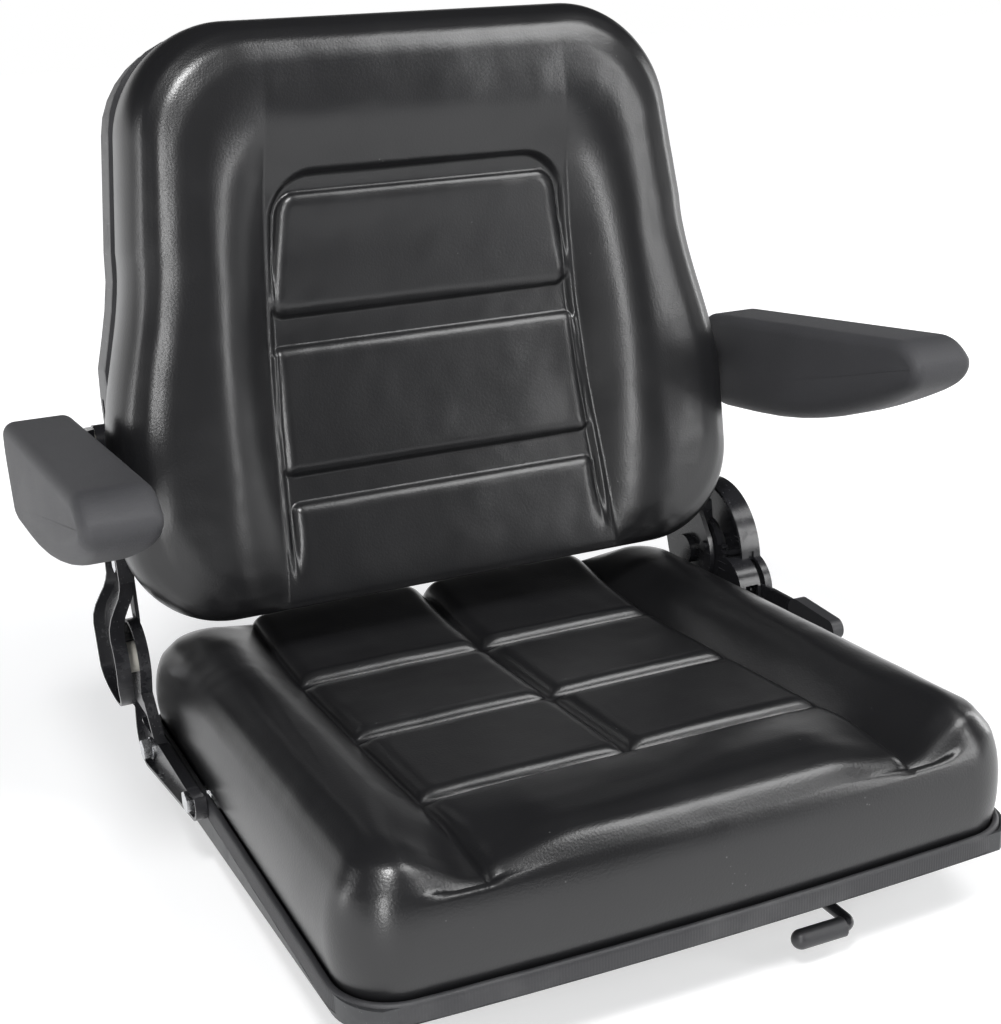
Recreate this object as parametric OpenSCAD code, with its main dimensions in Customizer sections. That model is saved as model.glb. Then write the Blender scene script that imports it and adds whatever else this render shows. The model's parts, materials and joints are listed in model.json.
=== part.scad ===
// Forklift seat with slide rails, reclining back and fold-up armrests.
// The origin is the middle of the four rail mounting holes, on the face that the rails stand on.
// The seat faces -Y, and its left and right are named as seen from the front: left is at -X.

/* [Seat] */
// Width over the edge trim
seat_w = 480; // [470:1:490]
// Depth over the edge trim
seat_d = 486; // [478:1:494]
// Corner radius of the seat outline
seat_r = 42; // [36:1:50]
// How far the front edge bows forward in the middle
front_bow = 7; // [3:0.5:10]
// Distance from the mounting middle back to the seat middle
seat_back = -7; // [-12:1:0]
// Height of the trim's top edge over the mounting face
rim_h = 60; // [58:1:64]
// Height of the edge trim
trim_h = 14; // [12:0.5:15]
// Height of the seat cushion's front roll over the trim
cushion_h = 90; // [80:1:100]
// Drop of the cushion's top from front to rear
cushion_drop = 17; // [10:1:20]
// Slope of the pad field, rising to the front
field_slope = 3.2; // [2:0.1:5]
// Half width of the seat's pad field
field_half = 149; // [140:1:156]
// Length of one seat pad from front to rear
pad_pitch = 116; // [106:1:122]

/* [Pan] */
// Sheet thickness of the pan
sheet_t = 2; // [1.5:0.5:2.5]
// Depth of the pan's skirt below the trim at the rear
skirt_rear = 32; // [26:1:36]
// Depth of the pan's skirt below the trim at the front
skirt_front = 1; // [0.5:0.5:4]

/* [Rails] */
// Distance between the two rails, middle to middle
rail_spacing = 290; // [270:2:300]
// Length of a rail
rail_len = 345; // [330:5:360]
// Width of a lower rail
rail_w = 46; // [44:1:50]
// Height of the rail pair from the mounting face to the pan
rail_h = 28; // [26:1:30]
// Sheet thickness of the rails
rail_t = 2.5; // [2:0.25:3]
// Distance between the mounting holes along a rail
hole_pitch = 250; // [240:5:260]
// Diameter of a mounting hole
hole_d = 9; // [8.5:0.5:11]
// Diameter of a slide ball
ball_d = 5; // [4.5:0.25:5]
// Travel of the seat each way
slide_travel = 75; // [50:5:80]
// Pitch of the latch slots
latch_pitch = 10; // [9:0.5:12]

/* [Hinge] */
// Distance of the recline axis behind the mounting middle
pivot_y = 192; // [188:1:196]
// Height of the recline axis over the mounting face
pivot_z = 122; // [118:1:126]
// Lean of the back at rest
back_lean = 7.7; // [5:0.1:10]
// Diameter of the hinge pins
pin_d = 14; // [12:0.5:16]
// Radius of the recliner's round housing
housing_r = 59; // [58:1:62]
// Tip radius of the toothed sector
sector_r = 44; // [42:0.5:46]
// Depth of the sector's teeth
tooth_h = 3.2; // [2.5:0.1:3.5]
// Angle from one sector tooth to the next
tooth_pitch = 7.5; // [7:0.5:9]
// Length of the recline lever from its shaft to the tip
lever_len = 127; // [118:1:130]

/* [Back] */
// How much wider the back is than the seat, low down
back_over = 31; // [24:1:38]
// Width of the back above the waist
back_waist_w = 458; // [446:1:466]
// Width of the back near its top
back_top_w = 428; // [416:1:440]
// Height of the back cushion
back_h = 440; // [430:1:450]
// Height of the back cushion's lower edge over the recline axis
back_low = 24; // [22:1:30]
// Corner radius of the back
back_r = 75; // [68:1:80]
// Thickness of the back cushion in front of its shell
back_t = 86; // [80:1:90]
// Depth of the back shell
shell_d = 30; // [26:1:34]

/* [Document box] */
// Width of the document box
box_w = 290; // [270:5:310]
// Height of the document box
box_h = 250; // [230:5:255]
// Depth of the document box
box_d = 38; // [34:1:44]

/* [Armrests] */
// Length of an armrest pad
arm_len = 292; // [280:2:300]
// Width of an armrest pad
arm_w = 52; // [50:1:56]
// Height of an armrest pad at its rear
arm_h = 81; // [76:1:84]
// Radius of the sweep of an armrest pad's belly
belly_r = 520; // [480:10:600]
// Gap from the back shell's side to an armrest pad
arm_gap = 29.7; // [27.7:0.5:33.7]
// Height of the armrest axis along the back
arm_axis_z = 165; // [160:1:172]
// Upward tilt of the left armrest
tilt_left = 3; // [2:0.2:6]
// Upward tilt of the right armrest
tilt_right = 4.6; // [2:0.2:6]

/* [Hidden] */
$fn = 48;

fit = 0.08;
gap = 0.3;
far = 400;

rail_x = rail_spacing / 2;
seat_front = seat_back - seat_d / 2;
seat_rear = seat_back + seat_d / 2;
trim_wall = 1.8;
trim_low = rim_h - trim_h;
pan_w = seat_w - 2 * trim_wall;
pan_x = pan_w / 2;
bow_r = (pow(seat_w / 2, 2) + pow(front_bow, 2)) / (2 * front_bow);
floor_top = rail_h + sheet_t;
cushion_low = trim_low + sheet_t;

m8 = 8;
m8_hole = 9;
m8_af = 13;
m8_head = 5.5;
m8_flange_d = 17.5;
flange_t = 1.5;
m10 = 10;
m10_hole = 11;
m10_af = 15;
m10_head = 7;
m10_flange_d = 18;
snug = 0.03;

steel_black = "#1c1c1f";
steel_grey = "#4a4c50";
zinc = "#c4c6c9";
rubber = "#18181a";
vinyl = "#141416";
plastic = "#1b1b1d";
nylon = "#d8d6cc";

// Shapes in a side view, with Y across and Z up, carried from x0 to x1
module along_x(x0, x1) {
    translate([x0, 0, 0]) rotate([90, 0, 90]) linear_extrude(x1 - x0) children();
}

// Shapes in a front view, with X across and Z up, carried from y0 to y1
module along_y(y0, y1) {
    translate([0, y1, 0]) rotate([90, 0, 0]) linear_extrude(y1 - y0) children();
}

// Round bar along X
module bar_x(y, z, d, x0, x1) {
    translate([x0, y, z]) rotate([0, 90, 0]) cylinder(h = x1 - x0, d = d);
}

// Round bar along Y
module bar_y(x, z, d, y0, y1) {
    translate([x, y0, z]) rotate([-90, 0, 0]) cylinder(h = y1 - y0, d = d);
}

module rounded_rect(w, d, r) {
    square([w - 2 * r, d], center = true);
    square([w, d - 2 * r], center = true);
    for (x = [-1, 1], y = [-1, 1]) translate([x * (w / 2 - r), y * (d / 2 - r)]) circle(r = r);
}

function spot(p) = [p[0], p[1]];

// The common tangents of two round ends, as a four-sided outline that stands a hair inside them
module tangent_web(a, b, inset) {
    hair = 0.02;
    ra = a[2] - inset - hair;
    rb = b[2] - inset - hair;
    step = spot(b) - spot(a);
    turn = atan2(step[1], step[0]);
    side = acos((ra - rb) / norm(step));
    left = [cos(turn + side), sin(turn + side)];
    right = [cos(turn - side), sin(turn - side)];
    polygon([spot(a) + ra * left, spot(b) + rb * left, spot(b) + rb * right, spot(a) + ra * right]);
}

// A chain of round ends and their tangents through points given as [y, z, radius]
module chain(points, inset = 0) {
    for (p = points) translate(spot(p)) circle(r = p[2] - inset);
    for (i = [1 : len(points) - 1]) tangent_web(points[i - 1], points[i], inset);
}

// The same chain as a plate from x0 to x1
module chain_plate(points, x0, x1, inset = 0) {
    for (p = points) bar_x(p[0], p[1], 2 * (p[2] - inset), x0, x1);
    for (i = [1 : len(points) - 1]) along_x(x0, x1) tangent_web(points[i - 1], points[i], inset);
}

// Front view of a bent sheet through points given as [x, z], thickened outwards by t
module bent_sheet(line, t) {
    n = len(line);
    polygon(concat(
        [[line[0][0], -far]], line, [[line[n - 1][0], 2 * far], [line[n - 1][0] + t, 2 * far]],
        [for (i = [n - 1 : -1 : 0]) [line[i][0] + t, line[i][1]]], [[line[0][0] + t, -far]]
    ));
}

// Pressed arm: a web that follows the bent line and a wall round it that stands outwards
module pressed_arm(line, web_t, depth, wall_t) {
    intersection() {
        along_x(0, far) children(0);
        along_y(-far, far) bent_sheet(line, web_t);
    }
    intersection() {
        along_x(0, far) difference() {
            children(0);
            children(1);
        }
        along_y(-far, far) bent_sheet(line, depth);
    }
}

// The mirror image of a right-hand piece
module on_side(side) {
    if (side < 0) mirror([1, 0, 0]) children();
    else children();
}

// Hexagon flange bolt that points down, with the underside of its flange at zero
module flange_bolt(d, length, af = m8_af, head = m8_head, flange_d = m8_flange_d) {
    cylinder(h = flange_t, d = flange_d);
    translate([0, 0, flange_t]) cylinder(h = head, d = af / cos(30), $fn = 6);
    translate([0, 0, -length]) cylinder(h = length, d = d);
}

module hex_nut(d, h, af = m8_af) {
    difference() {
        cylinder(h = h, d = af / cos(30), $fn = 6);
        translate([0, 0, -1]) cylinder(h = h + 2, d = d + 2 * snug);
    }
}

// Rails

lip_w = 6;
lip_z = 19.5;
foot_z = 8;
ball_clear = (foot_z - rail_t - ball_d) / 2;
neck_half = 13;
cage_len = 120;
rod_x = rail_x - rail_w / 2 - 18;
rod_z = 20;
rod_d = 8;
rack_w = 10;
rack_low = lip_z - rail_t;

module lower_rail_section() {
    half = rail_w / 2;
    difference() {
        translate([-half, 0]) square([rail_w, lip_z]);
        translate([-half + rail_t, rail_t]) square([rail_w - 2 * rail_t, lip_z - 2 * rail_t]);
        translate([-half + lip_w, rail_t]) square([rail_w - 2 * lip_w, lip_z]);
    }
}

module upper_rail_section() {
    foot_half = rail_w / 2 - rail_t - 1.2;
    difference() {
        translate([-neck_half, foot_z]) square([2 * neck_half, rail_h - foot_z]);
        translate([-neck_half + rail_t, foot_z - 1])
            square([2 * (neck_half - rail_t), rail_h - rail_t - foot_z + 1]);
    }
    for (s = [-1, 1]) translate([s > 0 ? neck_half - rail_t : -foot_half, foot_z])
        square([foot_half - neck_half + rail_t, rail_t]);
}

module latch_slots() {
    count = floor((2 * slide_travel + 40) / latch_pitch);
    for (i = [0 : count - 1])
        translate([-rack_w + 2, (i - (count - 1) / 2) * latch_pitch - 2.5]) square([rack_w - 4, 5]);
}

module lower_rail(x, rack) {
    difference() {
        translate([x, 0, 0]) along_y(-rail_len / 2, rail_len / 2) lower_rail_section();
        for (y = [-1, 1]) translate([x, y * hole_pitch / 2, -1]) cylinder(h = rail_t + 2, d = hole_d);
    }
    if (rack) translate([x - rail_w / 2, 0, rack_low]) linear_extrude(rail_t) difference() {
        translate([-rack_w, -rail_len / 2 + 40]) square([rack_w, rail_len - 80]);
        latch_slots();
    }
}

module lower_rail_left() { color(steel_black) lower_rail(-rail_x, false); }
module lower_rail_right() { color(steel_black) lower_rail(rail_x, true); }

pan_bolt_y = 110;

module upper_rail(x) {
    color(steel_black) difference() {
        translate([x, 0, 0]) along_y(-rail_len / 2, rail_len / 2) upper_rail_section();
        for (y = [-1, 1]) translate([x, y * pan_bolt_y, rail_h - rail_t - 1])
            cylinder(h = rail_t + 2, d = m8_hole);
    }
}

module upper_rail_left() upper_rail(-rail_x);
module upper_rail_right() upper_rail(rail_x);

ball_x = neck_half + 3.2;
ball_z = rail_t + ball_clear + ball_d / 2;
ball_step = 26;

module each_ball(x) {
    for (s = [-1, 1], i = [-1.5 : 1 : 1.5]) translate([x + s * ball_x, i * ball_step, ball_z]) children();
}

module slide_balls(x) { color(zinc) each_ball(x) sphere(d = ball_d); }
module slide_balls_left() slide_balls(-rail_x);
module slide_balls_right() slide_balls(rail_x);

module ball_cage(x) {
    color(nylon) difference() {
        translate([x, 0, ball_z - 0.8]) linear_extrude(1.6) rounded_rect(2 * ball_x + 7, cage_len, 2);
        each_ball(x) translate([0, 0, -2]) cylinder(h = 4, d = ball_d + 2 * fit);
    }
}

module ball_cage_left() ball_cage(-rail_x);
module ball_cage_right() ball_cage(rail_x);

// Pan, with its flat floor on the rails, a flange round it that the cushion lies on, and a skirt

tray_w = 392;
tray_d = 400;
tray_r = 30;

module seat_outline(inset) {
    intersection() {
        translate([0, seat_back]) rounded_rect(seat_w - 2 * inset, seat_d - 2 * inset, seat_r - inset);
        translate([0, seat_front + bow_r]) circle(r = bow_r - inset, $fn = 720);
    }
}

// What lies above the slanted lower edge of the skirt
module over_skirt_edge() {
    along_x(-far, far) polygon([
        [seat_front - 1, trim_low - skirt_front], [seat_rear + 1, trim_low - skirt_rear],
        [seat_rear + 1, rim_h - trim_wall], [seat_front - 1, rim_h - trim_wall]
    ]);
}

// Each hinge bolt's Y and Z, how far its boss reaches inside the skirt, and the boss's diameter
bolt_front = [66.5, 54.3, 0, 12];
bolt_rear = [204, 36.8, 5.5, 16];
base_x = seat_w / 2 + 0.5;

module seat_pan() {
    inner = trim_wall + sheet_t;
    color(steel_grey) difference() {
        union() {
            intersection() {
                linear_extrude(rim_h) difference() {
                    seat_outline(trim_wall);
                    seat_outline(inner);
                }
                over_skirt_edge();
            }
            translate([0, 0, trim_low]) linear_extrude(sheet_t) difference() {
                seat_outline(inner);
                translate([0, seat_back])
                    rounded_rect(tray_w - 2 * sheet_t, tray_d - 2 * sheet_t, tray_r - sheet_t);
            }
            translate([0, seat_back, rail_h]) linear_extrude(trim_low - rail_h + sheet_t) difference() {
                rounded_rect(tray_w, tray_d, tray_r);
                rounded_rect(tray_w - 2 * sheet_t, tray_d - 2 * sheet_t, tray_r - sheet_t);
            }
            translate([0, seat_back, rail_h]) linear_extrude(sheet_t) rounded_rect(tray_w, tray_d, tray_r);
            for (s = [-1, 1], b = [bolt_front, bolt_rear]) on_side(s)
                bar_x(b[0], b[1], b[3], pan_x - sheet_t - b[2], base_x);
        }
        for (x = [-1, 1], y = [-1, 1]) translate([x * rail_x, y * pan_bolt_y, rail_h - 1])
            cylinder(h = sheet_t + 2, d = m8_hole);
        for (b = [bolt_front, bolt_rear]) bar_x(b[0], b[1], m10_hole, -far, far);
        for (s = [-1, 1]) {
            translate([s * (pan_x - sheet_t - 6), bolt_front[0], trim_low]) cube([12, 20, 6], center = true);
            translate([s * rail_x - rail_w / 2 - 4, seat_rear - 20, -1]) cube([rail_w + 8, 40, lip_z + 4.5]);
        }
    }
}

module each_pan_bolt() {
    for (x = [-1, 1], y = [-1, 1]) translate([x * rail_x, y * pan_bolt_y, 0]) children();
}

nut_h = 6.5;
m10_nut_h = 8;

module pan_bolts() {
    color(zinc) each_pan_bolt() translate([0, 0, floor_top]) flange_bolt(m8, sheet_t + rail_t + nut_h + 1);
}

module pan_nuts() {
    color(zinc) each_pan_bolt() translate([0, 0, rail_h - rail_t - nut_h]) hex_nut(m8, nut_h);
}

// Rubber channel pushed over the pan's rim, with holes for the bosses of the hinge bolts
module edge_trim() {
    outer = trim_wall;
    inner = trim_wall + sheet_t;
    lip = inner + 1.5;
    color(rubber) difference() {
        union() {
            translate([0, 0, trim_low]) linear_extrude(trim_h) difference() {
                seat_outline(0);
                seat_outline(outer);
            }
            translate([0, 0, rim_h - trim_wall]) linear_extrude(trim_wall) difference() {
                seat_outline(outer);
                seat_outline(inner);
            }
            translate([0, 0, cushion_low]) linear_extrude(rim_h - cushion_low) difference() {
                seat_outline(inner);
                seat_outline(lip);
            }
        }
        for (s = [-1, 1]) on_side(s) {
            bar_x(bolt_front[0], bolt_front[1], bolt_front[3] + 0.4, pan_x - sheet_t, far);
            bar_x(bolt_front[0], bolt_front[1], m10_flange_d, pan_x - sheet_t - m10_nut_h, pan_x - sheet_t);
        }
    }
}

// Cushions

// Closed skin through rings of equally many points, with flat ends
module loft(rings) {
    n = len(rings[0]);
    m = len(rings);
    polyhedron(
        points = [for (r = rings, p = r) p],
        faces = concat(
            [[for (i = [0 : n - 1]) i]],
            [for (j = [0 : m - 2], i = [0 : n - 1]) [j * n + i, (j + 1) * n + i, (j + 1) * n + (i + 1) % n]],
            [for (j = [0 : m - 2], i = [0 : n - 1])
                [j * n + i, (j + 1) * n + (i + 1) % n, j * n + (i + 1) % n]],
            [[for (i = [n - 1 : -1 : 0]) (m - 1) * n + i]]
        )
    );
}

corner_steps = 7;

// One ring of the seat cushion: its inset from the trim's outline, and its height over the rim
function seat_ring(inset, h) = [
    for (c = [0 : 3], i = [0 : corner_steps])
        let (
            a = 90 * c + 90 * i / corner_steps,
            r = max(seat_r - inset, 14) + max(inset - 10, 0) * 0.6,
            x = (seat_w / 2 - inset - r) * (c == 0 || c == 3 ? 1 : -1) + r * cos(a),
            y = (seat_d / 2 - inset - r) * (c < 2 ? 1 : -1) + r * sin(a),
            bow = y < 0 ? (bow_r - sqrt(bow_r * bow_r - x * x)) * min(1, -y / 150) : 0,
            drop = cushion_drop * max(h, 0) / cushion_h * (y / seat_d + 0.5)
        )
        [x, y + seat_back + bow, rim_h + h - drop]
];

// Share of the cushion's height against inset from the edge, from the rim to the crown
function seat_rings() = concat(
    [seat_ring(6.5, cushion_low - rim_h), seat_ring(6.5, 0.5)],
    [for (k = [[4, 0.12], [3, 0.3], [4, 0.5], [9, 0.7], [19, 0.86], [34, 0.96], [54, 1]])
        seat_ring(k[0], cushion_h * k[1])]
);

pad_top = 60;
groove_d = 7;
groove_w = 9;

// Side view of the pad field's floor over its plane: it rises to the front roll and to the rear edge
field_rise = [
    [-1.62, 30], [-1.38, 12], [-1.18, 2], [-1, 0], [0.86, 0], [1.1, 2], [1.47, 6.5], [1.77, 13], [1.94, 18.5],
    [2.2, 30]
];

// The sunken pad field between the side bolsters, cut deeper by extra
module pad_field(extra) {
    floor_line = [for (k = field_rise) [k[0] * pad_pitch, k[1]]];
    translate([0, -20, rim_h + pad_top - extra]) rotate([-field_slope, 0, 0]) intersection() {
        along_y(-far, far) polygon([
            [-field_half, 0], [field_half, 0], [field_half + 52, 60], [-field_half - 52, 60]
        ]);
        along_x(-far, far) polygon(concat([[-1.9 * pad_pitch, 60]], floor_line, [[2.6 * pad_pitch, 60]]));
    }
}

module pad_grooves() {
    translate([0, -20, 0]) linear_extrude(far) {
        for (y = [-1, 0, 1]) translate([0, y * pad_pitch]) square([2 * field_half, groove_w], center = true);
        translate([-groove_w / 2, -pad_pitch]) square([groove_w, 3 * pad_pitch]);
        for (x = [-1, 1]) translate([x * field_half - groove_w / 2, -1.1 * pad_pitch])
            square([groove_w, 4 * pad_pitch]);
    }
}

// The foam also fills the pan's tray, down to its floor
module seat_cushion() {
    plug = sheet_t + 0.3;
    color(vinyl) difference() {
        union() {
            loft(seat_rings());
            translate([0, seat_back, floor_top + gap]) linear_extrude(trim_low + 10 - floor_top)
                rounded_rect(tray_w - 2 * plug, tray_d - 2 * plug, tray_r - plug);
        }
        pad_field(0);
        intersection() {
            pad_field(groove_d);
            pad_grooves();
        }
        each_pan_bolt() translate([0, 0, floor_top])
            cylinder(h = flange_t + m8_head + 1, d = m8_flange_d + 1);
        for (s = [-1, 1]) on_side(s)
            bar_x(bolt_front[0], bolt_front[1], m10_af / cos(30) + 2, pan_x - sheet_t - m10_nut_h - 3, far);
    }
}

// Slide latch on the right rail: a bent rod that carries a plate, whose teeth reach down into the rack.
// It is drawn with the teeth just clear of the rack.

rod_front = seat_front + 11;
rod_end = 70;
rod_bend = 7;
stub_len = 38;
tooth_x = rail_x - rail_w / 2 - rack_w / 2;
latch_tooth_w = 3.6;
latch_plate_len = 62;
latch_plate_t = 2.2;
latch_plate_z = lip_z + 3.3;

module latch_rod() {
    color(steel_black) {
        bar_y(rod_x, rod_z, rod_d, rod_front + rod_bend, rod_end);
        translate([rod_x - rod_bend, rod_front + rod_bend, rod_z]) rotate([0, 0, -90])
            rotate_extrude(angle = 90)
            translate([rod_bend, 0]) circle(d = rod_d);
        bar_x(rod_front, rod_z, rod_d, rod_x - stub_len, rod_x - rod_bend);
    }
}

grip_d = 13;

// Moulded cap over the rod's stub, with a round nose
module latch_grip() {
    end = rod_x - rod_bend - 0.2;
    nose = rod_x - stub_len - 1;
    color(plastic) difference() {
        translate([0, rod_front, rod_z]) rotate([0, 90, 0]) rotate_extrude() intersection() {
            union() {
                translate([0, nose]) circle(d = grip_d);
                translate([0, nose]) square([grip_d / 2, end - nose]);
            }
            translate([0, nose - grip_d]) square([grip_d, 2 * grip_d + end - nose]);
        }
        bar_x(rod_front, rod_z, rod_d + 2 * snug, rod_x - stub_len, far);
    }
}

// Welded on top of the rod
module latch_tooth_plate() {
    half = latch_plate_len / 2;
    color(steel_black) difference() {
        union() {
            translate([rod_x - 3, -half, latch_plate_z]) cube([tooth_x + 6 - rod_x, 2 * half, latch_plate_t]);
            for (i = [-2 : 2]) translate([tooth_x - 2, i * latch_pitch - latch_tooth_w / 2, lip_z + gap])
                cube([4, latch_tooth_w, latch_plate_z - lip_z + latch_plate_t / 2]);
        }
        bar_y(rod_x, rod_z, rod_d + 2 * snug, -far, far);
    }
}

module latch_brackets() {
    plate_t = 3;
    ring_d = rod_d + 7;
    color(steel_black) for (y = [-130, 54]) difference() {
        union() {
            along_y(y, y + plate_t) difference() {
                union() {
                    translate([rod_x, rod_z]) circle(d = ring_d);
                    translate([rod_x - ring_d / 2, rod_z]) square([ring_d, rail_h - rod_z]);
                }
                translate([rod_x, rod_z]) circle(d = rod_d + 2 * fit);
            }
            translate([rod_x - ring_d / 2, y, rail_h - plate_t]) cube([ring_d, 22, plate_t]);
        }
    }
}

// A slice across a round wire that climbs by pitch in each turn, which is a curved lens
function wire_slice(r, wire, pitch, steps = 7) = let (
    half = 180 * wire / pitch,
    at = function(k, side) let (
        a = half * (2 * k / steps - 1),
        w = wire / 2 * sqrt(max(0, 1 - pow(2 * k / steps - 1, 2)))
    )
        (r + side * w) * [cos(a), sin(a)]
) concat([for (k = [0 : steps]) at(k, 1)], [for (k = [steps - 1 : -1 : 1]) at(k, -1)]);

// Coil of round wire round the Z axis
module coil(r, wire, pitch, turns) {
    linear_extrude(height = pitch * turns, twist = -360 * turns, slices = 12 * turns, segments = 1)
        polygon(wire_slice(r, wire, pitch));
}

// Torsion spring round the rod, with one leg on the tooth plate and the other under the pan's floor
module latch_spring() {
    wire = 1.4;
    leg = 6;
    r = rod_d / 2 + 1.9;
    start = -latch_plate_len / 2 - 15;
    end = start + 13.2;
    top = rod_z + r;
    color(zinc) {
        translate([rod_x, start, rod_z]) rotate([-90, 0, 0]) coil(r, wire, 2.2, 6);
        bar_x(end, top, wire, rod_x, rod_x + leg);
        bar_y(rod_x + leg, top, wire, end - wire / 2, end + 9);
        bar_x(start, top, wire, rod_x - 10, rod_x);
        translate([rod_x - 10, start, top - wire / 2]) cylinder(h = rail_h - top + wire / 2 - 0.1, d = wire);
    }
}

// Hinge and recliner

arm_y = 25;
base_low = 64;
base_high = 74;
base_pin = [pivot_y, pivot_z, 30];
base_rear = [208, 46, 25];
base_front = [59, 57, 13.5];
base_gusset = [[178, 92, 14], [140, 62, 9]];
web_t = 3;
arm_wall = 2.5;
left_x = base_x + 5.5;
left_rim = 8.5;

module base_holes() {
    for (b = [bolt_front, bolt_rear]) bar_x(b[0], b[1], m10_hole, 0, far);
    bar_x(pivot_y, pivot_z, pin_d + 2 * fit, 0, far);
}

module base_outline(inset) {
    chain([base_pin, base_rear, base_front], inset);
    chain(base_gusset, inset);
}

module hinge_base_left() {
    color(steel_black) on_side(-1) difference() {
        pressed_arm([[base_x, base_low], [left_x, base_high]], web_t, left_rim, arm_wall) {
            base_outline(0);
            base_outline(arm_wall);
        }
        base_holes();
    }
}

module in_back() {
    translate([0, pivot_y, pivot_z]) rotate([-back_lean, 0, 0]) children();
}

back_w = seat_w + back_over;
shell_x = back_w / 2 - 11.2;
arm_in = shell_x + arm_gap;
arm_x = shell_x + 0.2;
left_arm_x = left_x + left_rim + 6;
arm_web = 2.5;
arm_rim = 11;
arm_bolt = [[24, 70], [22, 118]];
left_chain = [[11, -3, 36], [28, 50, 27], [arm_y, arm_axis_z, 14]];

// Share of the left arm's outward step against the height along it, which dips again at the low end
left_bend = [
    [-45, 0.62], [-38, 0.73], [-30, 0.85], [-22, 0.95], [-14, 1], [20, 1], [27, 0.94], [34, 0.76], [41, 0.48],
    [47, 0.22], [53, 0.06], [58, 0]
];

module hinge_arm_left() {
    line = [for (k = left_bend) [arm_x + (left_arm_x - arm_x) * k[1], k[0]]];
    color(steel_black) in_back() on_side(-1) difference() {
        pressed_arm(line, arm_web, arm_rim, arm_wall) {
            chain(left_chain);
            chain(left_chain, arm_wall);
        }
        for (b = arm_bolt) bar_x(b[0], b[1], m8_hole, 0, far);
        bar_x(0, 0, pin_d + 2 * snug, 0, far);
        bar_x(arm_y, arm_axis_z, 10 + 2 * snug, 0, far);
    }
}

module hinge_pin_left() {
    color(zinc) on_side(-1) in_back() {
        bar_x(0, 0, pin_d, left_x - 0.5, left_arm_x + arm_web);
        bar_x(0, 0, pin_d + 8, left_arm_x + arm_web, left_arm_x + arm_web + 3);
        bar_x(0, 0, pin_d + 8, left_x - 3, left_x - 0.5);
    }
}

module hinge_bush_left() {
    color(nylon) on_side(-1) in_back() difference() {
        bar_x(0, 0, pin_d + 10, left_x + web_t + 0.2, left_arm_x - 0.2);
        bar_x(0, 0, pin_d + 2 * snug, 0, far);
    }
}

arm_plate_t = 4;
right_x = arm_x + arm_plate_t + 0.5;
sector_x = right_x + web_t + 1;
sector_t = 5;
cover_x = base_x + 39.5;
cover_t = 2.5;
ring_x = sector_x + sector_t + 4;
block = [141, 100, 27];
pawl_at = [163, 81];
lever_at = [135, 96];
shaft_d = 10;
peg_at = [-31, -4.2];
pawl_peg = [143.8, 90.8];

module forward_body(inset) {
    chain([block, [pawl_at[0], pawl_at[1], 22]], inset);
}

module housing_outline(inset) {
    translate([pivot_y, pivot_z]) circle(r = housing_r - inset);
    forward_body(inset);
}

module round_about_pivot(r) {
    translate([pivot_y, pivot_z]) circle(r = r);
}

// Seat side of the recliner: a stepped plate, and a housing round the works that is open towards the seat
module recliner_base_right() {
    wall = 3;
    window = [108, 17];
    color(steel_black) difference() {
        union() {
            intersection() {
                along_x(0, far) {
                    chain([base_pin, base_rear, base_front]);
                    forward_body(0);
                }
                along_y(-far, far) bent_sheet([[base_x, base_low], [right_x, base_high]], web_t);
            }
            intersection() {
                along_x(base_x, base_x + left_rim) difference() {
                    chain([base_rear, base_front]);
                    chain([base_rear, base_front], arm_wall);
                }
                translate([0, -far, 0]) cube([far, 2 * far, base_low]);
            }
            along_x(cover_x - cover_t, cover_x) housing_outline(0);
            along_x(ring_x, cover_x) difference() {
                housing_outline(0);
                housing_outline(wall);
            }
            along_x(right_x, cover_x) difference() {
                forward_body(0);
                forward_body(wall);
                round_about_pivot(housing_r - 6);
            }
            in_back() bar_x(peg_at[0], peg_at[1], 6, sector_x + sector_t + 1.3, cover_x - 1);
        }
        translate([right_x + web_t + 2, block[0] - 40, window[0] - window[1]]) cube([12, 22, window[1]]);
        translate([lever_x - 1, block[0] - 40, lever_at[1] - 9]) cube([lever_t + 2, 34, 44]);
        base_holes();
        bar_x(pawl_at[0], pawl_at[1], 8 + 2 * snug, 0, far);
        bar_x(lever_at[0], lever_at[1], shaft_d + 2 * fit, 0, far);
    }
}

// The inner face of a hinge bolt's nut
function nut_end(b) = pan_x - sheet_t - b[2] - m10_nut_h;

module base_bolts() {
    color(zinc) for (s = [-1, 1], b = [bolt_front, bolt_rear]) on_side(s)
        translate([base_x + web_t, b[0], b[1]]) rotate([0, 90, 0])
            flange_bolt(m10, base_x + web_t - nut_end(b) + 1.5, m10_af, m10_head, m10_flange_d);
}

module base_nuts() {
    color(zinc) for (s = [-1, 1], b = [bolt_front, bolt_rear]) on_side(s)
        translate([nut_end(b), b[0], b[1]]) rotate([0, 90, 0]) rotate([0, 0, 30])
            hex_nut(m10, m10_nut_h, m10_af);
}

sector_from = 170;
sector_to = 252;
sector_root = sector_r - tooth_h;

// Side view of the toothed sector round the pin
module sector_outline() {
    count = floor((sector_to - sector_from) / tooth_pitch);
    circle(r = sector_root - 5);
    polygon(concat(
        [[0, 0]],
        [for (i = [0 : count - 1], k = [[0, 0], [0.28, 1], [0.5, 1], [0.78, 0]])
            let (a = sector_from + (i + k[0]) * tooth_pitch, r = sector_root + k[1] * tooth_h)
            [r * cos(a), r * sin(a)]]
    ));
}

right_chain = [[0, 0, 36], [28, 84, 22], [arm_y, arm_axis_z, 14]];

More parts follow.
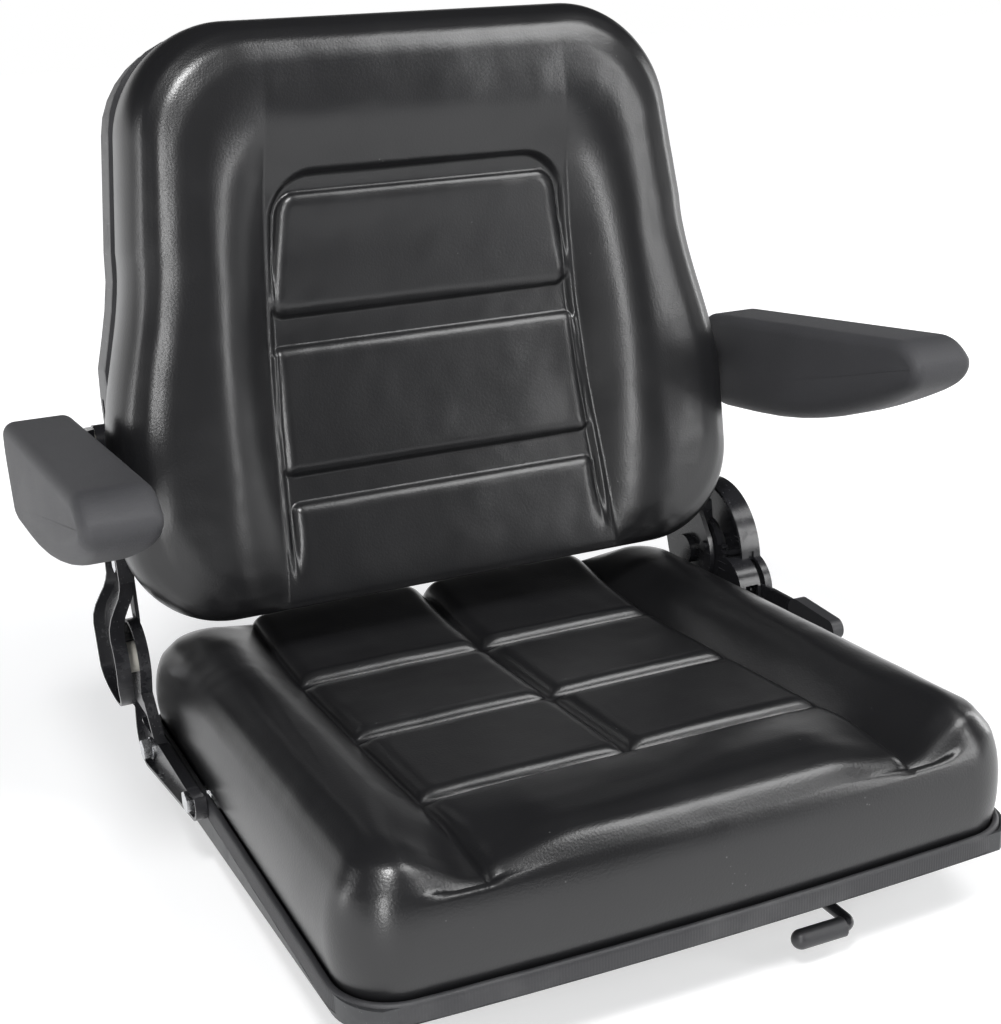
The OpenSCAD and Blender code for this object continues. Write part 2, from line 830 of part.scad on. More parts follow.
// Back side of the recliner: a plate up the back's side, bridged over the base plate to the toothed sector
module recliner_arm_right() {
    color(steel_black) in_back() difference() {
        union() {
            along_x(arm_x, arm_x + arm_plate_t) chain(right_chain);
            along_x(sector_x, sector_x + sector_t) sector_outline();
            along_x(sector_x, sector_x + sector_t) translate([-20, 20]) square([40, 24]);
            along_x(arm_x, sector_x + sector_t) intersection() {
                difference() {
                    circle(r = 49);
                    circle(r = 31.5);
                }
                translate([-22, 0]) square([44, 60]);
            }
            bar_x(-27, 6, 9, arm_x - 2, arm_x + 1);
        }
        for (b = arm_bolt) bar_x(b[0], b[1], m8_hole, 0, far);
        bar_x(0, 0, pin_d + 2 * snug, 0, far);
        bar_x(arm_y, arm_axis_z, 10 + 2 * snug, 0, far);
    }
}

// Side view of the slot for the spring's tongue, which is as wide as the back's travel
module spring_slot() {
    half = spring_t / 2 + 0.3;
    low = -14;
    high = 27;
    polygon([
        [-1, -half], half * [sin(low), -cos(low)],
        pin_d * [cos(low), sin(low)] + half * [sin(low), -cos(low)],
        pin_d * [cos(high), sin(high)] + half * [-sin(high), cos(high)],
        half * [-sin(high), cos(high)], [-1, half]
    ]);
}

// Pivot pin, pressed into the back's plate, with a slot for the spiral spring
module recliner_pin_right() {
    color(steel_black) in_back() difference() {
        union() {
            bar_x(0, 0, pin_d, arm_x - 0.5, cover_x - cover_t - 1);
            bar_x(0, 0, 26, arm_x - 6, arm_x - 0.01);
        }
        along_x(sector_x + sector_t + 1, far) spring_slot();
    }
}

module each_arm_bolt() {
    for (s = [-1, 1], b = arm_bolt) translate([s * (arm_x + (s > 0 ? arm_plate_t : arm_web)), b[0], b[1]])
        rotate([0, s * 90, 0]) children();
}

module arm_bolts() { color(zinc) in_back() each_arm_bolt() flange_bolt(m8, 20); }

nut_seat = 8;

// Nuts on the back's bolts and on the armrest bolts, inside the shell's side walls
module shell_nuts(places, turn) {
    for (s = [-1, 1], b = places) translate([s * (shell_x - nut_seat - nut_h - snug), b[0], b[1]])
        rotate([0, s * 90, 0]) rotate([0, 0, turn]) hex_nut(m8, nut_h);
}

module arm_nuts() { color(zinc) in_back() shell_nuts(arm_bolt, 30); }
module armrest_nuts() { color(zinc) in_back() shell_nuts([[arm_y, arm_axis_z]], 0); }

spring_t = 1.2;
spring_w = 6;
spring_in = 9;
spring_out = 27;
spring_turns = 3.5;

// A point on the spiral strip at an angle, to its inner or outer side
function spiral_at(a, side) = let (r = spring_in + (spring_out - spring_in) * a / (360 * spring_turns) + side)
    [r * cos(a), r * sin(a)];

// Flat strip wound outwards, from its tongue in the pin's slot to a hook on the housing's peg
module recline_spring() {
    x0 = sector_x + sector_t + 1.5;
    last = 360 * spring_turns;
    step = 360 / 28;
    color(steel_grey) in_back() {
        along_x(x0, x0 + spring_w) polygon(concat(
            [for (a = [0 : step : last]) spiral_at(a, 0)],
            [for (a = [last : -step : 0]) spiral_at(a, spring_t)]
        ));
        translate([x0, 0, -spring_t / 2]) cube([spring_w, spring_in + spring_t, spring_t]);
        translate([x0, -spring_out - 5, -spring_t / 2]) cube([spring_w, 5.5, spring_t]);
    }
}

// Lock pawl, drawn with its teeth just clear of the sector
module lock_pawl() {
    clear = sector_r + gap;
    middle = 206;
    x1 = sector_x + sector_t;
    color(steel_grey) difference() {
        union() {
            difference() {
                union() {
                    chain_plate(
                        [[pawl_at[0], pawl_at[1], 7], [150.5, 99.5, 6.5], [147, 108, 5]], sector_x, x1
                    );
                    chain_plate([[152, 94, 5], [pawl_peg[0], pawl_peg[1], 3.5]], sector_x, x1);
                }
                along_x(0, far) round_about_pivot(clear + tooth_h);
            }
            for (a = [middle - 1.5 * tooth_pitch : tooth_pitch : middle + 1.5 * tooth_pitch])
                along_x(sector_x, x1) translate([pivot_y, pivot_z]) polygon([
                    clear * [cos(a), sin(a)],
                    (clear + tooth_h + 1) * [cos(a - 2.4), sin(a - 2.4)],
                    (clear + tooth_h + 1) * [cos(a + 2.4), sin(a + 2.4)]
                ]);
            bar_x(pawl_peg[0], pawl_peg[1], 5, x1 - 1, x1 + 4);
        }
        bar_x(pawl_at[0], pawl_at[1], 8 + 2 * fit, 0, far);
    }
}

module pawl_pin() {
    color(zinc) {
        bar_x(pawl_at[0], pawl_at[1], 8, right_x, cover_x + 1);
        bar_x(pawl_at[0], pawl_at[1], 12, cover_x + 0.01, cover_x + 2);
    }
}

lever_x = cover_x - cover_t - 8;
lever_t = 3;

// Shaft that the lever turns, with the finger that presses on the pawl's peg
module lever_shaft() {
    x0 = sector_x + sector_t + 0.5;
    color(zinc) {
        bar_x(lever_at[0], lever_at[1], shaft_d, right_x - 0.3, cover_x + 1);
        chain_plate([[lever_at[0], lever_at[1], 7], [lever_at[0] + 9, lever_at[1] + 2.5, 2.5]], x0, x0 + 3);
    }
}

lever_tip = lever_at[0] - lever_len;

module lever_plate(extra = 0) {
    chain_plate(
        [
            [lever_at[0], lever_at[1], 9], [lever_at[0] - 35, lever_at[1] + 4, 8],
            [lever_tip + 12, lever_at[1] + 6, 6]
        ],
        lever_x - extra, lever_x + lever_t + extra, -extra
    );
}

module recline_lever() {
    color(steel_black) difference() {
        lever_plate();
        bar_x(lever_at[0], lever_at[1], shaft_d + 2 * snug, 0, far);
    }
}

module recline_grip() {
    grip_t = 10;
    x0 = lever_x + lever_t / 2 - grip_t / 2;
    color(plastic) difference() {
        chain_plate([[60, lever_at[1] + 6, 10.5], [lever_tip + 8.5, lever_at[1] + 5, 8.5]], x0, x0 + grip_t);
        lever_plate(snug);
    }
}

// Torsion spring between the housing and the lever
module lever_spring() {
    wire = 1.4;
    x0 = sector_x + sector_t + 4.4;
    r = shaft_d / 2 + 1.2;
    color(zinc) translate([x0, lever_at[0], lever_at[1]]) {
        rotate([0, 90, 0]) coil(r, wire, 1.6, 3);
        bar_y(wire / 2, -r, wire, -1, 14);
        bar_y(4.8 - wire / 2, -r, wire, -1, 9);
    }
}

// Back

back_top = back_low + back_h;

function corner_cut(d, r) = d >= r ? 0 : r - sqrt(max(0, r * r - pow(r - max(d, 0), 2)));
function ease(t) = let (u = min(1, max(0, t))) u * u * (3 - 2 * u);

// Half width of the back at a height over the recline axis
function back_half(z) = let (
    above = (back_waist_w - back_top_w) / 2 * max(0, (z - 0.66 * back_top) / (0.28 * back_top)),
    low = ease((0.66 * back_top - z) / (0.32 * back_top))
) (back_waist_w / 2 - above) * (1 - low) + back_w / 2 * low;

// Heights at which the outline is drawn, closer together at its corners
function outline_heights(low, top, r) = concat(
    [for (i = [0 : 7]) low + r * (1 - cos(90 * i / 8))],
    [for (i = [0 : 14]) low + r + (top - low - 2 * r) * i / 14],
    [for (i = [7 : -1 : 0]) top - r * (1 - cos(90 * i / 8))]
);

// The back's outline as [x, z], held inside limit
function back_outline(inset, low, top, r, limit) = let (
    zs = outline_heights(low + inset, top - inset, r),
    xs = [for (z = zs)
        min(limit, back_half(z) - inset) - corner_cut(z - low - inset, r) - corner_cut(top - inset - z, r)]
) concat(
    [for (i = [0 : len(zs) - 1]) [xs[i], zs[i]]],
    [for (i = [len(zs) - 1 : -1 : 0]) [-xs[i], zs[i]]]
);

shell_front = 4;
shell_rear = shell_front + shell_d;
shell_r = 66;

module shell_outline(inset) {
    polygon(back_outline(inset + 2, back_low - 2, back_top - 2, max(shell_r - inset, 10), shell_x - inset));
}

nut_places = concat(arm_bolt, [[arm_y, arm_axis_z]]);

// Shell with raised seats for the nuts, a tongue on each side below and a slot above each armrest axis
module back_shell() {
    color(steel_black) in_back() difference() {
        union() {
            difference() {
                along_y(shell_front, shell_rear) shell_outline(0);
                along_y(shell_front - 1, shell_rear - sheet_t) intersection() {
                    shell_outline(sheet_t);
                    translate([-far, back_low + 1]) square([2 * far, far * 2]);
                }
            }
            for (s = [-1, 1]) on_side(s) {
                chain_plate([[20, back_low + 2, 7], [23, 60, 10], [23, 92, 10]], shell_x - 3, shell_x);
                for (b = nut_places) bar_x(b[0] - 1, b[1], 19, shell_x - nut_seat, shell_x);
            }
        }
        for (b = nut_places) bar_x(b[0], b[1], m8_hole, -far, far);
        for (s = [0, 12]) bar_x(arm_y, arm_axis_z + 18 + s, 6, -far, far);
        along_x(-far, far) translate([arm_y - 3, arm_axis_z + 18]) square([6, 12]);
        bar_x(20, back_low + 2, 6, -far, far);
    }
}

module back_trim() {
    color(rubber) in_back() along_y(shell_front - 3, shell_front) difference() {
        polygon(back_outline(1, back_low - 2, back_top - 2, shell_r, shell_x - 0.1));
        shell_outline(sheet_t + 1.5);
    }
}

function back_ring(inset, y) = [
    for (p = back_outline(inset, back_low, back_top, max(back_r - inset * 0.3, 20), far)) [p[0], y, p[1]]
];

front_y = shell_front - back_t;
field_low = 38;
field_top = 354;
pad_rows = [[246, 338], [127, 225], [44, 107]];

// Front view of a pad or of the field: its half width follows the back's own widening
module field_outline(low, top, half_low, half_top, r) {
    polygon([
        [-half_low, low], [half_low, low], [half_top, top - r], [half_top - r * 0.3, top - r * 0.3],
        [half_top - r, top], [-half_top + r, top], [-half_top + r * 0.3, top - r * 0.3], [-half_top, top - r]
    ]);
}

// The sunken, curved pad field between the bolsters of the back, cut deeper by extra
module back_field(extra) {
    intersection() {
        linear_extrude(field_top + 60) polygon([
            [-134, -30], [134, -30], [140, -62], [188, -84], [188, -120],
            [-188, -120], [-188, -84], [-140, -62]
        ]);
        translate([0, extra, 0]) along_x(-far, far) polygon([
            [-62, -1], [-60, 107], [-50, 165], [-47, 235], [-54, 300], [-62, 345], [-84, 400],
            [-140, 400], [-140, -1]
        ]);
    }
}

module back_cushion() {
    color(vinyl) in_back() difference() {
        union() {
            loft([for (k = [
                [8, shell_front - 3.2], [1.5, shell_front - 12], [0, shell_front - 28], [0, shell_front - 46],
                [3, front_y + 25], [9, front_y + 14], [19, front_y + 6], [33, front_y + 1.5], [52, front_y]
            ]) back_ring(k[0], k[1])]);
            along_y(shell_front - 4, shell_rear - sheet_t) intersection() {
                shell_outline(sheet_t + 1.8);
                translate([-far, back_low + 4]) square([2 * far, far * 2]);
            }
        }
        back_field(0);
        intersection() {
            back_field(6);
            along_y(-far, far) difference() {
                field_outline(field_low, field_top, 137, 120, 36);
                for (r = pad_rows)
                    field_outline(r[0], r[1], r[1] > 300 ? 126 : 130, r[1] > 300 ? 114 : 128, 14);
            }
        }
        for (s = [-1, 1], b = nut_places) on_side(s)
            bar_x(b[0], b[1], 22, shell_x - nut_seat - nut_h - 6, shell_x);
    }
}

// Document box on the rear of the shell, with a lid that opens to the rear

box_low = back_top - 9 - box_h;
box_r = 16;
box_wall = 2.5;
box_rear = shell_rear + box_d;
lid_t = 3;
knuckle_r = 4.5;
lid_axis = [box_rear + knuckle_r + 0.9, box_low + 7];
lug_x = box_w / 2 - 40;
lug_w = 12;
tab_x = 92;
tab_w = 50;

module box_outline(inset) {
    translate([0, box_low + box_h / 2]) rounded_rect(box_w - 2 * inset, box_h - 2 * inset, box_r - inset);
}

module document_box() {
    color(plastic) in_back() difference() {
        union() {
            difference() {
                along_y(shell_rear, box_rear) box_outline(0);
                along_y(shell_rear + box_wall, box_rear + 1) box_outline(box_wall);
            }
            for (s = [-1, 1]) {
                bar_x(lid_axis[0], lid_axis[1], 2 * knuckle_r, s * lug_x - lug_w / 2, s * lug_x + lug_w / 2);
                translate([s * lug_x - lug_w / 2, box_rear - 3, box_low + 1])
                    cube([lug_w, lid_axis[0] - box_rear + 3, lid_axis[1] + knuckle_r - box_low - 1]);
            }
        }
        bar_x(lid_axis[0], lid_axis[1], 4, -far, far);
    }
}

module document_lid() {
    face = box_rear + gap;
    knuckle = 30;
    color(plastic) in_back() difference() {
        union() {
            intersection() {
                along_y(face, face + lid_t) box_outline(0);
                translate([-far, 0, lid_axis[1] - 1]) cube([2 * far, far, far]);
            }
            along_y(face, face + lid_t) translate([tab_x, back_top - 9]) rounded_rect(tab_w, 38, 10);
            along_y(face + lid_t, face + lid_t + 2) translate([0, box_low + box_h / 2]) difference() {
                rounded_rect(box_w - 50, box_h - 60, 10);
                rounded_rect(box_w - 66, box_h - 76, 8);
            }
            bar_x(lid_axis[0], lid_axis[1], 2 * knuckle_r, -knuckle, knuckle);
        }
        for (s = [-1, 1]) translate([s * lug_x - lug_w / 2 - 0.5, face - 1, box_low])
            cube([lug_w + 1, lid_t + 2, 12.5]);
        bar_x(lid_axis[0], lid_axis[1], 4 + 2 * fit, -far, far);
    }
}

module lid_pin() {
    color(zinc) in_back() bar_x(lid_axis[0], lid_axis[1], 4, -lug_x - lug_w / 2, lug_x + lug_w / 2);
}

// Armrests, each in its own frame with the origin on its axis and Y along the pad's top

pad_back = 20;
pad_front = pad_back + arm_len;
bar_x0 = 257;
bar_t = 4;
core_x0 = arm_in + arm_w / 2 - bar_t / 2;

module in_armrest(side) {
    on_side(side) in_back() translate([0, arm_y, arm_axis_z])
        rotate([back_lean - (side > 0 ? tilt_right : tilt_left), 0, 0]) children();
}

// Shoulder bolt that the armrest turns on
module armrest_bolt(side) {
    color(steel_black) in_armrest(side) {
        bar_x(0, 0, 8, shell_x - nut_seat - nut_h - 2, arm_x + 1);
        bar_x(0, 0, 10, arm_x, bar_x0 + bar_t + 0.5);
        bar_x(0, 0, 18, bar_x0 + bar_t + 0.4, bar_x0 + bar_t + 5);
    }
}

module armrest_bolt_left() armrest_bolt(-1);
module armrest_bolt_right() armrest_bolt(1);

module armrest_bush(side) {
    inner = side > 0 ? arm_x + arm_plate_t : arm_x + arm_web;
    color(nylon) in_armrest(side) difference() {
        bar_x(0, 0, 19, inner + snug, bar_x0 - 0.2);
        bar_x(0, 0, 10 + 2 * snug, 0, far);
    }
}

module armrest_bush_left() armrest_bush(-1);
module armrest_bush_right() armrest_bush(1);

// The steel bar steps outwards from the back's side to the middle of the pad
module armrest_bar_solid() {
    step_in = 14;
    step_out = 44;
    intersection() {
        union() chain_plate([[0, 0, 13], [-40, 4, 11], [-pad_front + 50, 12, 9]], 0, far);
        linear_extrude(far, center = true) polygon([
            [bar_x0, far], [bar_x0, -step_in], [core_x0, -step_out], [core_x0, -far],
            [core_x0 + bar_t, -far], [core_x0 + bar_t, -step_out + bar_t], [bar_x0 + bar_t, -step_in + bar_t],
            [bar_x0 + bar_t, far]
        ]);
    }
}

module armrest_arm(side) {
    color(steel_black) in_armrest(side) difference() {
        armrest_bar_solid();
        bar_x(0, 0, 10 + 2 * fit, 0, far);
    }
}

module armrest_arm_left() armrest_arm(-1);
module armrest_arm_right() armrest_arm(1);

// Boat shape: a flat top with rounded edges, and a round belly that sweeps up to the nose
module armrest_pad(side) {
    rise = side > 0 ? 40 : 32;
    low = rise - arm_h;
    sweep_from = 90;
    edge_r = 16;
    nose = asin((pad_front - sweep_from - edge_r) / (belly_r - edge_r));
    color(plastic) in_armrest(side) difference() {
        hull() for (x = [arm_in + edge_r, arm_in + arm_w - edge_r]) {
            for (a = [0 : nose / 4 : nose + 0.1]) translate([
                x, -sweep_from - (belly_r - edge_r) * sin(a), low + belly_r - (belly_r - edge_r) * cos(a)
            ]) sphere(r = edge_r, $fn = 32);
            translate([x, -pad_back - edge_r, low + edge_r + 4]) sphere(r = edge_r, $fn = 32);
            for (k = [[edge_r, 8], [14.4, 2.8], [12, 0.8], [9, 0]],
                y = [-pad_back - edge_r, -pad_front + edge_r])
                translate([x, y, rise - k[1] - 0.5]) cylinder(r = k[0], h = 0.5, $fn = 32);
        }
        armrest_bar_solid();
    }
}

module armrest_pad_left() armrest_pad(-1);
module armrest_pad_right() armrest_pad(1);

lower_rail_left();
lower_rail_right();
upper_rail_left();
upper_rail_right();
ball_cage_left();
ball_cage_right();
slide_balls_left();
slide_balls_right();
seat_pan();
pan_bolts();
pan_nuts();
edge_trim();
seat_cushion();
latch_rod();
latch_grip();
latch_tooth_plate();
latch_brackets();
latch_spring();
hinge_base_left();
recliner_base_right();
base_bolts();
base_nuts();
hinge_pin_left();
hinge_bush_left();
recliner_pin_right();
hinge_arm_left();
recliner_arm_right();
arm_bolts();
arm_nuts();
recline_spring();
lock_pawl();
pawl_pin();
lever_shaft();
recline_lever();
recline_grip();
lever_spring();
back_shell();
back_trim();
back_cushion();
document_box();
document_lid();
lid_pin();
armrest_bolt_left();
armrest_bolt_right();
armrest_nuts();
armrest_bush_left();
armrest_bush_right();
armrest_arm_left();
armrest_arm_right();
armrest_pad_left();
armrest_pad_right();
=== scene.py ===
import json
import math

import bmesh
import bpy
import numpy as np
from mathutils import Matrix, Vector, noise


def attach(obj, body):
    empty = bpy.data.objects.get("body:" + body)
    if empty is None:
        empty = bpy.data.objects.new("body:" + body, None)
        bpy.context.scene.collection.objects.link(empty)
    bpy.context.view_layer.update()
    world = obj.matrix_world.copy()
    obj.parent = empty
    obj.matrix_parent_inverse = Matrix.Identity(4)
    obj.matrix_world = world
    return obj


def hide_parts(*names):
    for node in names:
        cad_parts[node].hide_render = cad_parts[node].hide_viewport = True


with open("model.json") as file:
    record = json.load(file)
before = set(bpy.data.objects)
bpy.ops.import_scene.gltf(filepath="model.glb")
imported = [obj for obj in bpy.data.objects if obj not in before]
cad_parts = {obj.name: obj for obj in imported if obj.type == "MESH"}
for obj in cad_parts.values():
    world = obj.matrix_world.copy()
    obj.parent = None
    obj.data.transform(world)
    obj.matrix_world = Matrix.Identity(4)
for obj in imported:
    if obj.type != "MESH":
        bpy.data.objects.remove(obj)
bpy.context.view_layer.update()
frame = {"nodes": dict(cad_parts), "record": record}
nodes = frame["nodes"]

# Lengths are written in millimetres below, as in a workshop drawing, and turned into metres by MM.
MM = 0.001


# ---- Camera, floor and lamps ----

def add_camera():
    """The photograph's viewpoint: left of the seat's front, a little above it."""
    azimuth, height, roll = math.radians(-22.84), math.radians(17.97), math.radians(-2.66)
    back = Vector((math.sin(azimuth) * math.cos(height), -math.cos(azimuth) * math.cos(height), math.sin(height)))
    right = (-back).cross(Vector((0, 0, 1))).normalized()
    up = right.cross(-back)
    across = math.cos(roll) * right + math.sin(roll) * up
    upright = -math.sin(roll) * right + math.cos(roll) * up
    camera = bpy.data.objects.new("camera", bpy.data.cameras.new("camera"))
    bpy.context.collection.objects.link(camera)
    turn = Matrix((across, upright, back)).transposed().to_4x4()
    camera.matrix_world = Matrix.Translation((-0.4787, -0.9977, 0.6072)) @ turn
    camera.data.sensor_width = 36
    camera.data.lens = 58.04
    camera.data.shift_x = 0.0440
    camera.data.shift_y = 0.0047
    bpy.context.scene.camera = camera


def add_lamp(name, place, target, width, height, power):
    lamp = bpy.data.lights.new(name, "AREA")
    lamp.shape = "RECTANGLE"
    lamp.size = width
    lamp.size_y = height
    lamp.energy = power
    holder = bpy.data.objects.new(name, lamp)
    bpy.context.collection.objects.link(holder)
    aim = (Vector(target) - Vector(place)).to_track_quat("-Z", "Y").to_matrix().to_4x4()
    holder.matrix_world = Matrix.Translation(place) @ aim
    return holder


def shown_white(tree):
    """One where the camera, a mirror or glass looks at the surface itself."""
    path = tree.nodes.new("ShaderNodeLightPath")
    seen = tree.nodes.new("ShaderNodeMath")
    seen.operation = "MAXIMUM"
    tree.links.new(path.outputs["Is Camera Ray"], seen.inputs[0])
    tree.links.new(path.outputs["Is Glossy Ray"], seen.inputs[1])
    both = tree.nodes.new("ShaderNodeMath")
    both.operation = "MAXIMUM"
    tree.links.new(seen.outputs[0], both.inputs[0])
    tree.links.new(path.outputs["Is Transmission Ray"], both.inputs[1])
    return both.outputs[0], path


def set_world():
    """A white sweep for the camera and, up to its upper edge, for mirrors; a dim room elsewhere."""
    world = bpy.data.worlds.new("studio")
    bpy.context.scene.world = world
    world.use_nodes = True
    tree = world.node_tree
    tree.nodes.clear()
    out = tree.nodes.new("ShaderNodeOutputWorld")
    room = tree.nodes.new("ShaderNodeBackground")
    room.inputs["Color"].default_value = (0.9, 0.93, 1, 1)
    room.inputs["Strength"].default_value = 0.26
    sweep = tree.nodes.new("ShaderNodeBackground")
    sweep.inputs["Strength"].default_value = 1
    where = tree.nodes.new("ShaderNodeTexCoord")
    split = tree.nodes.new("ShaderNodeSeparateXYZ")
    tree.links.new(where.outputs["Generated"], split.inputs[0])
    ramp = tree.nodes.new("ShaderNodeMapRange")
    ramp.interpolation_type = "SMOOTHSTEP"
    ramp.inputs["From Min"].default_value = 0.08
    ramp.inputs["From Max"].default_value = 0.3
    ramp.inputs["To Min"].default_value = 1
    ramp.inputs["To Max"].default_value = 0.03
    tree.links.new(split.outputs["Z"], ramp.inputs["Value"])
    behind = tree.nodes.new("ShaderNodeMapRange")
    behind.interpolation_type = "SMOOTHSTEP"
    behind.inputs["From Min"].default_value = -0.75
    behind.inputs["From Max"].default_value = -0.1
    behind.inputs["To Min"].default_value = 0.06
    tree.links.new(split.outputs["Y"], behind.inputs["Value"])
    sweep_edge = tree.nodes.new("ShaderNodeMath")
    sweep_edge.operation = "MULTIPLY"
    tree.links.new(ramp.outputs[0], sweep_edge.inputs[0])
    tree.links.new(behind.outputs[0], sweep_edge.inputs[1])
    seen, path = shown_white(tree)
    level = tree.nodes.new("ShaderNodeMath")
    level.operation = "MAXIMUM"
    tree.links.new(sweep_edge.outputs[0], level.inputs[0])
    tree.links.new(path.outputs["Is Camera Ray"], level.inputs[1])
    tree.links.new(level.outputs[0], sweep.inputs["Color"])
    mix = tree.nodes.new("ShaderNodeMixShader")
    tree.links.new(seen, mix.inputs["Fac"])
    tree.links.new(room.outputs[0], mix.inputs[1])
    tree.links.new(sweep.outputs[0], mix.inputs[2])
    tree.links.new(mix.outputs[0], out.inputs["Surface"])


def add_floor():
    shape = bmesh.new()
    bmesh.ops.create_grid(shape, x_segments=1, y_segments=1, size=14)
    mesh = bpy.data.meshes.new("floor")
    shape.to_mesh(mesh)
    shape.free()
    floor = bpy.data.objects.new("floor", mesh)
    bpy.context.collection.objects.link(floor)
    material = bpy.data.materials.new("studio_floor")
    material.use_nodes = True
    tree = material.node_tree
    tree.nodes.clear()
    out = tree.nodes.new("ShaderNodeOutputMaterial")
    paint = tree.nodes.new("ShaderNodeBsdfDiffuse")
    paint.inputs["Color"].default_value = (0.55, 0.55, 0.55, 1)
    glow = tree.nodes.new("ShaderNodeEmission")
    glow.inputs["Color"].default_value = (1, 1, 1, 1)
    add = tree.nodes.new("ShaderNodeAddShader")
    seen, path = shown_white(tree)
    near = tree.nodes.new("ShaderNodeVectorMath")
    near.operation = "LENGTH"
    where = tree.nodes.new("ShaderNodeTexCoord")
    tree.links.new(where.outputs["Object"], near.inputs[0])
    fade = tree.nodes.new("ShaderNodeMapRange")
    for label, value in (("From Min", 0.5), ("From Max", 1.6), ("To Min", 0.55), ("To Max", 1.0)):
        fade.inputs[label].default_value = value
    tree.links.new(near.outputs["Value"], fade.inputs["Value"])
    split = tree.nodes.new("ShaderNodeSeparateXYZ")
    tree.links.new(where.outputs["Object"], split.inputs[0])
    edge = tree.nodes.new("ShaderNodeMapRange")
    for label, value in (("From Min", -1.6), ("From Max", -0.5), ("To Min", 0.0), ("To Max", 1.0)):
        edge.inputs[label].default_value = value
    tree.links.new(split.outputs["Y"], edge.inputs["Value"])
    shown = tree.nodes.new("ShaderNodeMath")
    shown.operation = "MAXIMUM"
    tree.links.new(edge.outputs[0], shown.inputs[0])
    tree.links.new(path.outputs["Is Camera Ray"], shown.inputs[1])
    strength = tree.nodes.new("ShaderNodeMath")
    strength.operation = "MULTIPLY"
    tree.links.new(shown.outputs[0], strength.inputs[0])
    tree.links.new(fade.outputs[0], strength.inputs[1])
    tree.links.new(strength.outputs[0], glow.inputs["Strength"])
    tree.links.new(paint.outputs[0], add.inputs[0])
    tree.links.new(glow.outputs[0], add.inputs[1])
    tree.links.new(add.outputs[0], out.inputs["Surface"])
    mesh.materials.append(material)


bpy.context.scene.view_settings.view_transform = "Standard"
add_camera()
set_world()
add_floor()
middle = (0, 0, 0.25)
add_lamp("lamp_left", (-1.2, -1.85, 0.7), middle, 0.26, 1.5, 22)
add_lamp("lamp_right", (1.45, -1.6, 0.8), middle, 0.24, 1.4, 14)
add_lamp("lamp_top", (0.95, -0.75, 1.8), middle, 0.9, 0.8, 19)
add_lamp("lamp_side_left", (-2.05, 0.3, 0.6), middle, 0.3, 1.2, 7)
add_lamp("lamp_side_right", (2.05, 0.3, 0.6), middle, 0.3, 1.2, 7)
add_lamp("lamp_spot", (-0.62, -0.95, 1.75), middle, 0.36, 0.36, 22)


# ---- Effects that several finishes share ----

def new_group(name, inputs, outputs):
    """An empty shader group: inputs are (name, value), outputs are names of single values."""
    group = bpy.data.node_groups.new(name, "ShaderNodeTree")
    for label, value in inputs:
        kind = "NodeSocketVector" if value is None else "NodeSocketFloat"
        socket = group.interface.new_socket(label, in_out="INPUT", socket_type=kind)
        if value is not None:
            socket.default_value = value
    for label in outputs:
        group.interface.new_socket(label, in_out="OUTPUT", socket_type="NodeSocketFloat")
    start = group.nodes.new("NodeGroupInput")
    end = group.nodes.new("NodeGroupOutput")
    return group, start, end


def add_math(tree, kind, a, b=None, clamp=False):
    node = tree.nodes.new("ShaderNodeMath")
    node.operation = kind
    node.use_clamp = clamp
    for socket, value in zip(node.inputs, (a, b)):
        if value is None:
            continue
        if isinstance(value, (int, float)):
            socket.default_value = value
        else:
            tree.links.new(value, socket)
    return node.outputs[0]


def add_noise(tree, place, scale, detail=3.0, rough=0.5):
    node = tree.nodes.new("ShaderNodeTexNoise")
    node.inputs["Detail"].default_value = detail
    node.inputs["Roughness"].default_value = rough
    tree.links.new(place, node.inputs["Vector"])
    if isinstance(scale, (int, float)):
        node.inputs["Scale"].default_value = scale
    else:
        tree.links.new(scale, node.inputs["Scale"])
    return node.outputs["Fac"]


def add_range(tree, value, low, high, to_low=0.0, to_high=1.0, smooth=True):
    node = tree.nodes.new("ShaderNodeMapRange")
    node.interpolation_type = "SMOOTHSTEP" if smooth else "LINEAR"
    for label, number in (("From Min", low), ("From Max", high), ("To Min", to_low), ("To Max", to_high)):
        node.inputs[label].default_value = number
    tree.links.new(value, node.inputs["Value"])
    return node.outputs[0]


def make_skin_grain():
    """Pebbled grain of coated cloth: small cushions with thin valleys, and pores."""
    group, start, end = new_group("skin_grain", [("Place", None), ("Scale", 700.0)], ["Height", "Tone"])
    warp = group.nodes.new("ShaderNodeTexNoise")
    warp.inputs["Detail"].default_value = 2
    group.links.new(start.outputs["Place"], warp.inputs["Vector"])
    group.links.new(add_math(group, "MULTIPLY", start.outputs["Scale"], 0.3), warp.inputs["Scale"])
    push = group.nodes.new("ShaderNodeVectorMath")
    push.operation = "MULTIPLY_ADD"
    push.inputs[1].default_value = (0.0016, 0.0016, 0.0016)
    group.links.new(warp.outputs["Color"], push.inputs[0])
    group.links.new(start.outputs["Place"], push.inputs[2])
    cells = group.nodes.new("ShaderNodeTexVoronoi")
    cells.feature = "SMOOTH_F1"
    cells.inputs["Smoothness"].default_value = 0.35
    group.links.new(push.outputs[0], cells.inputs["Vector"])
    group.links.new(start.outputs["Scale"], cells.inputs["Scale"])
    pebble = add_math(group, "SUBTRACT", 1.0, cells.outputs["Distance"])
    fine = add_noise(group, start.outputs["Place"], add_math(group, "MULTIPLY", start.outputs["Scale"], 2.5), 2)
    height = add_math(group, "MULTIPLY_ADD", fine, 0.35)
    group.nodes[-1].inputs[2].default_value = 0
    group.links.new(pebble, group.nodes[-1].inputs[2])
    group.links.new(height, end.inputs["Height"])
    wide = add_noise(group, start.outputs["Place"], 9.0, 3)
    group.links.new(wide, end.inputs["Tone"])
    return group


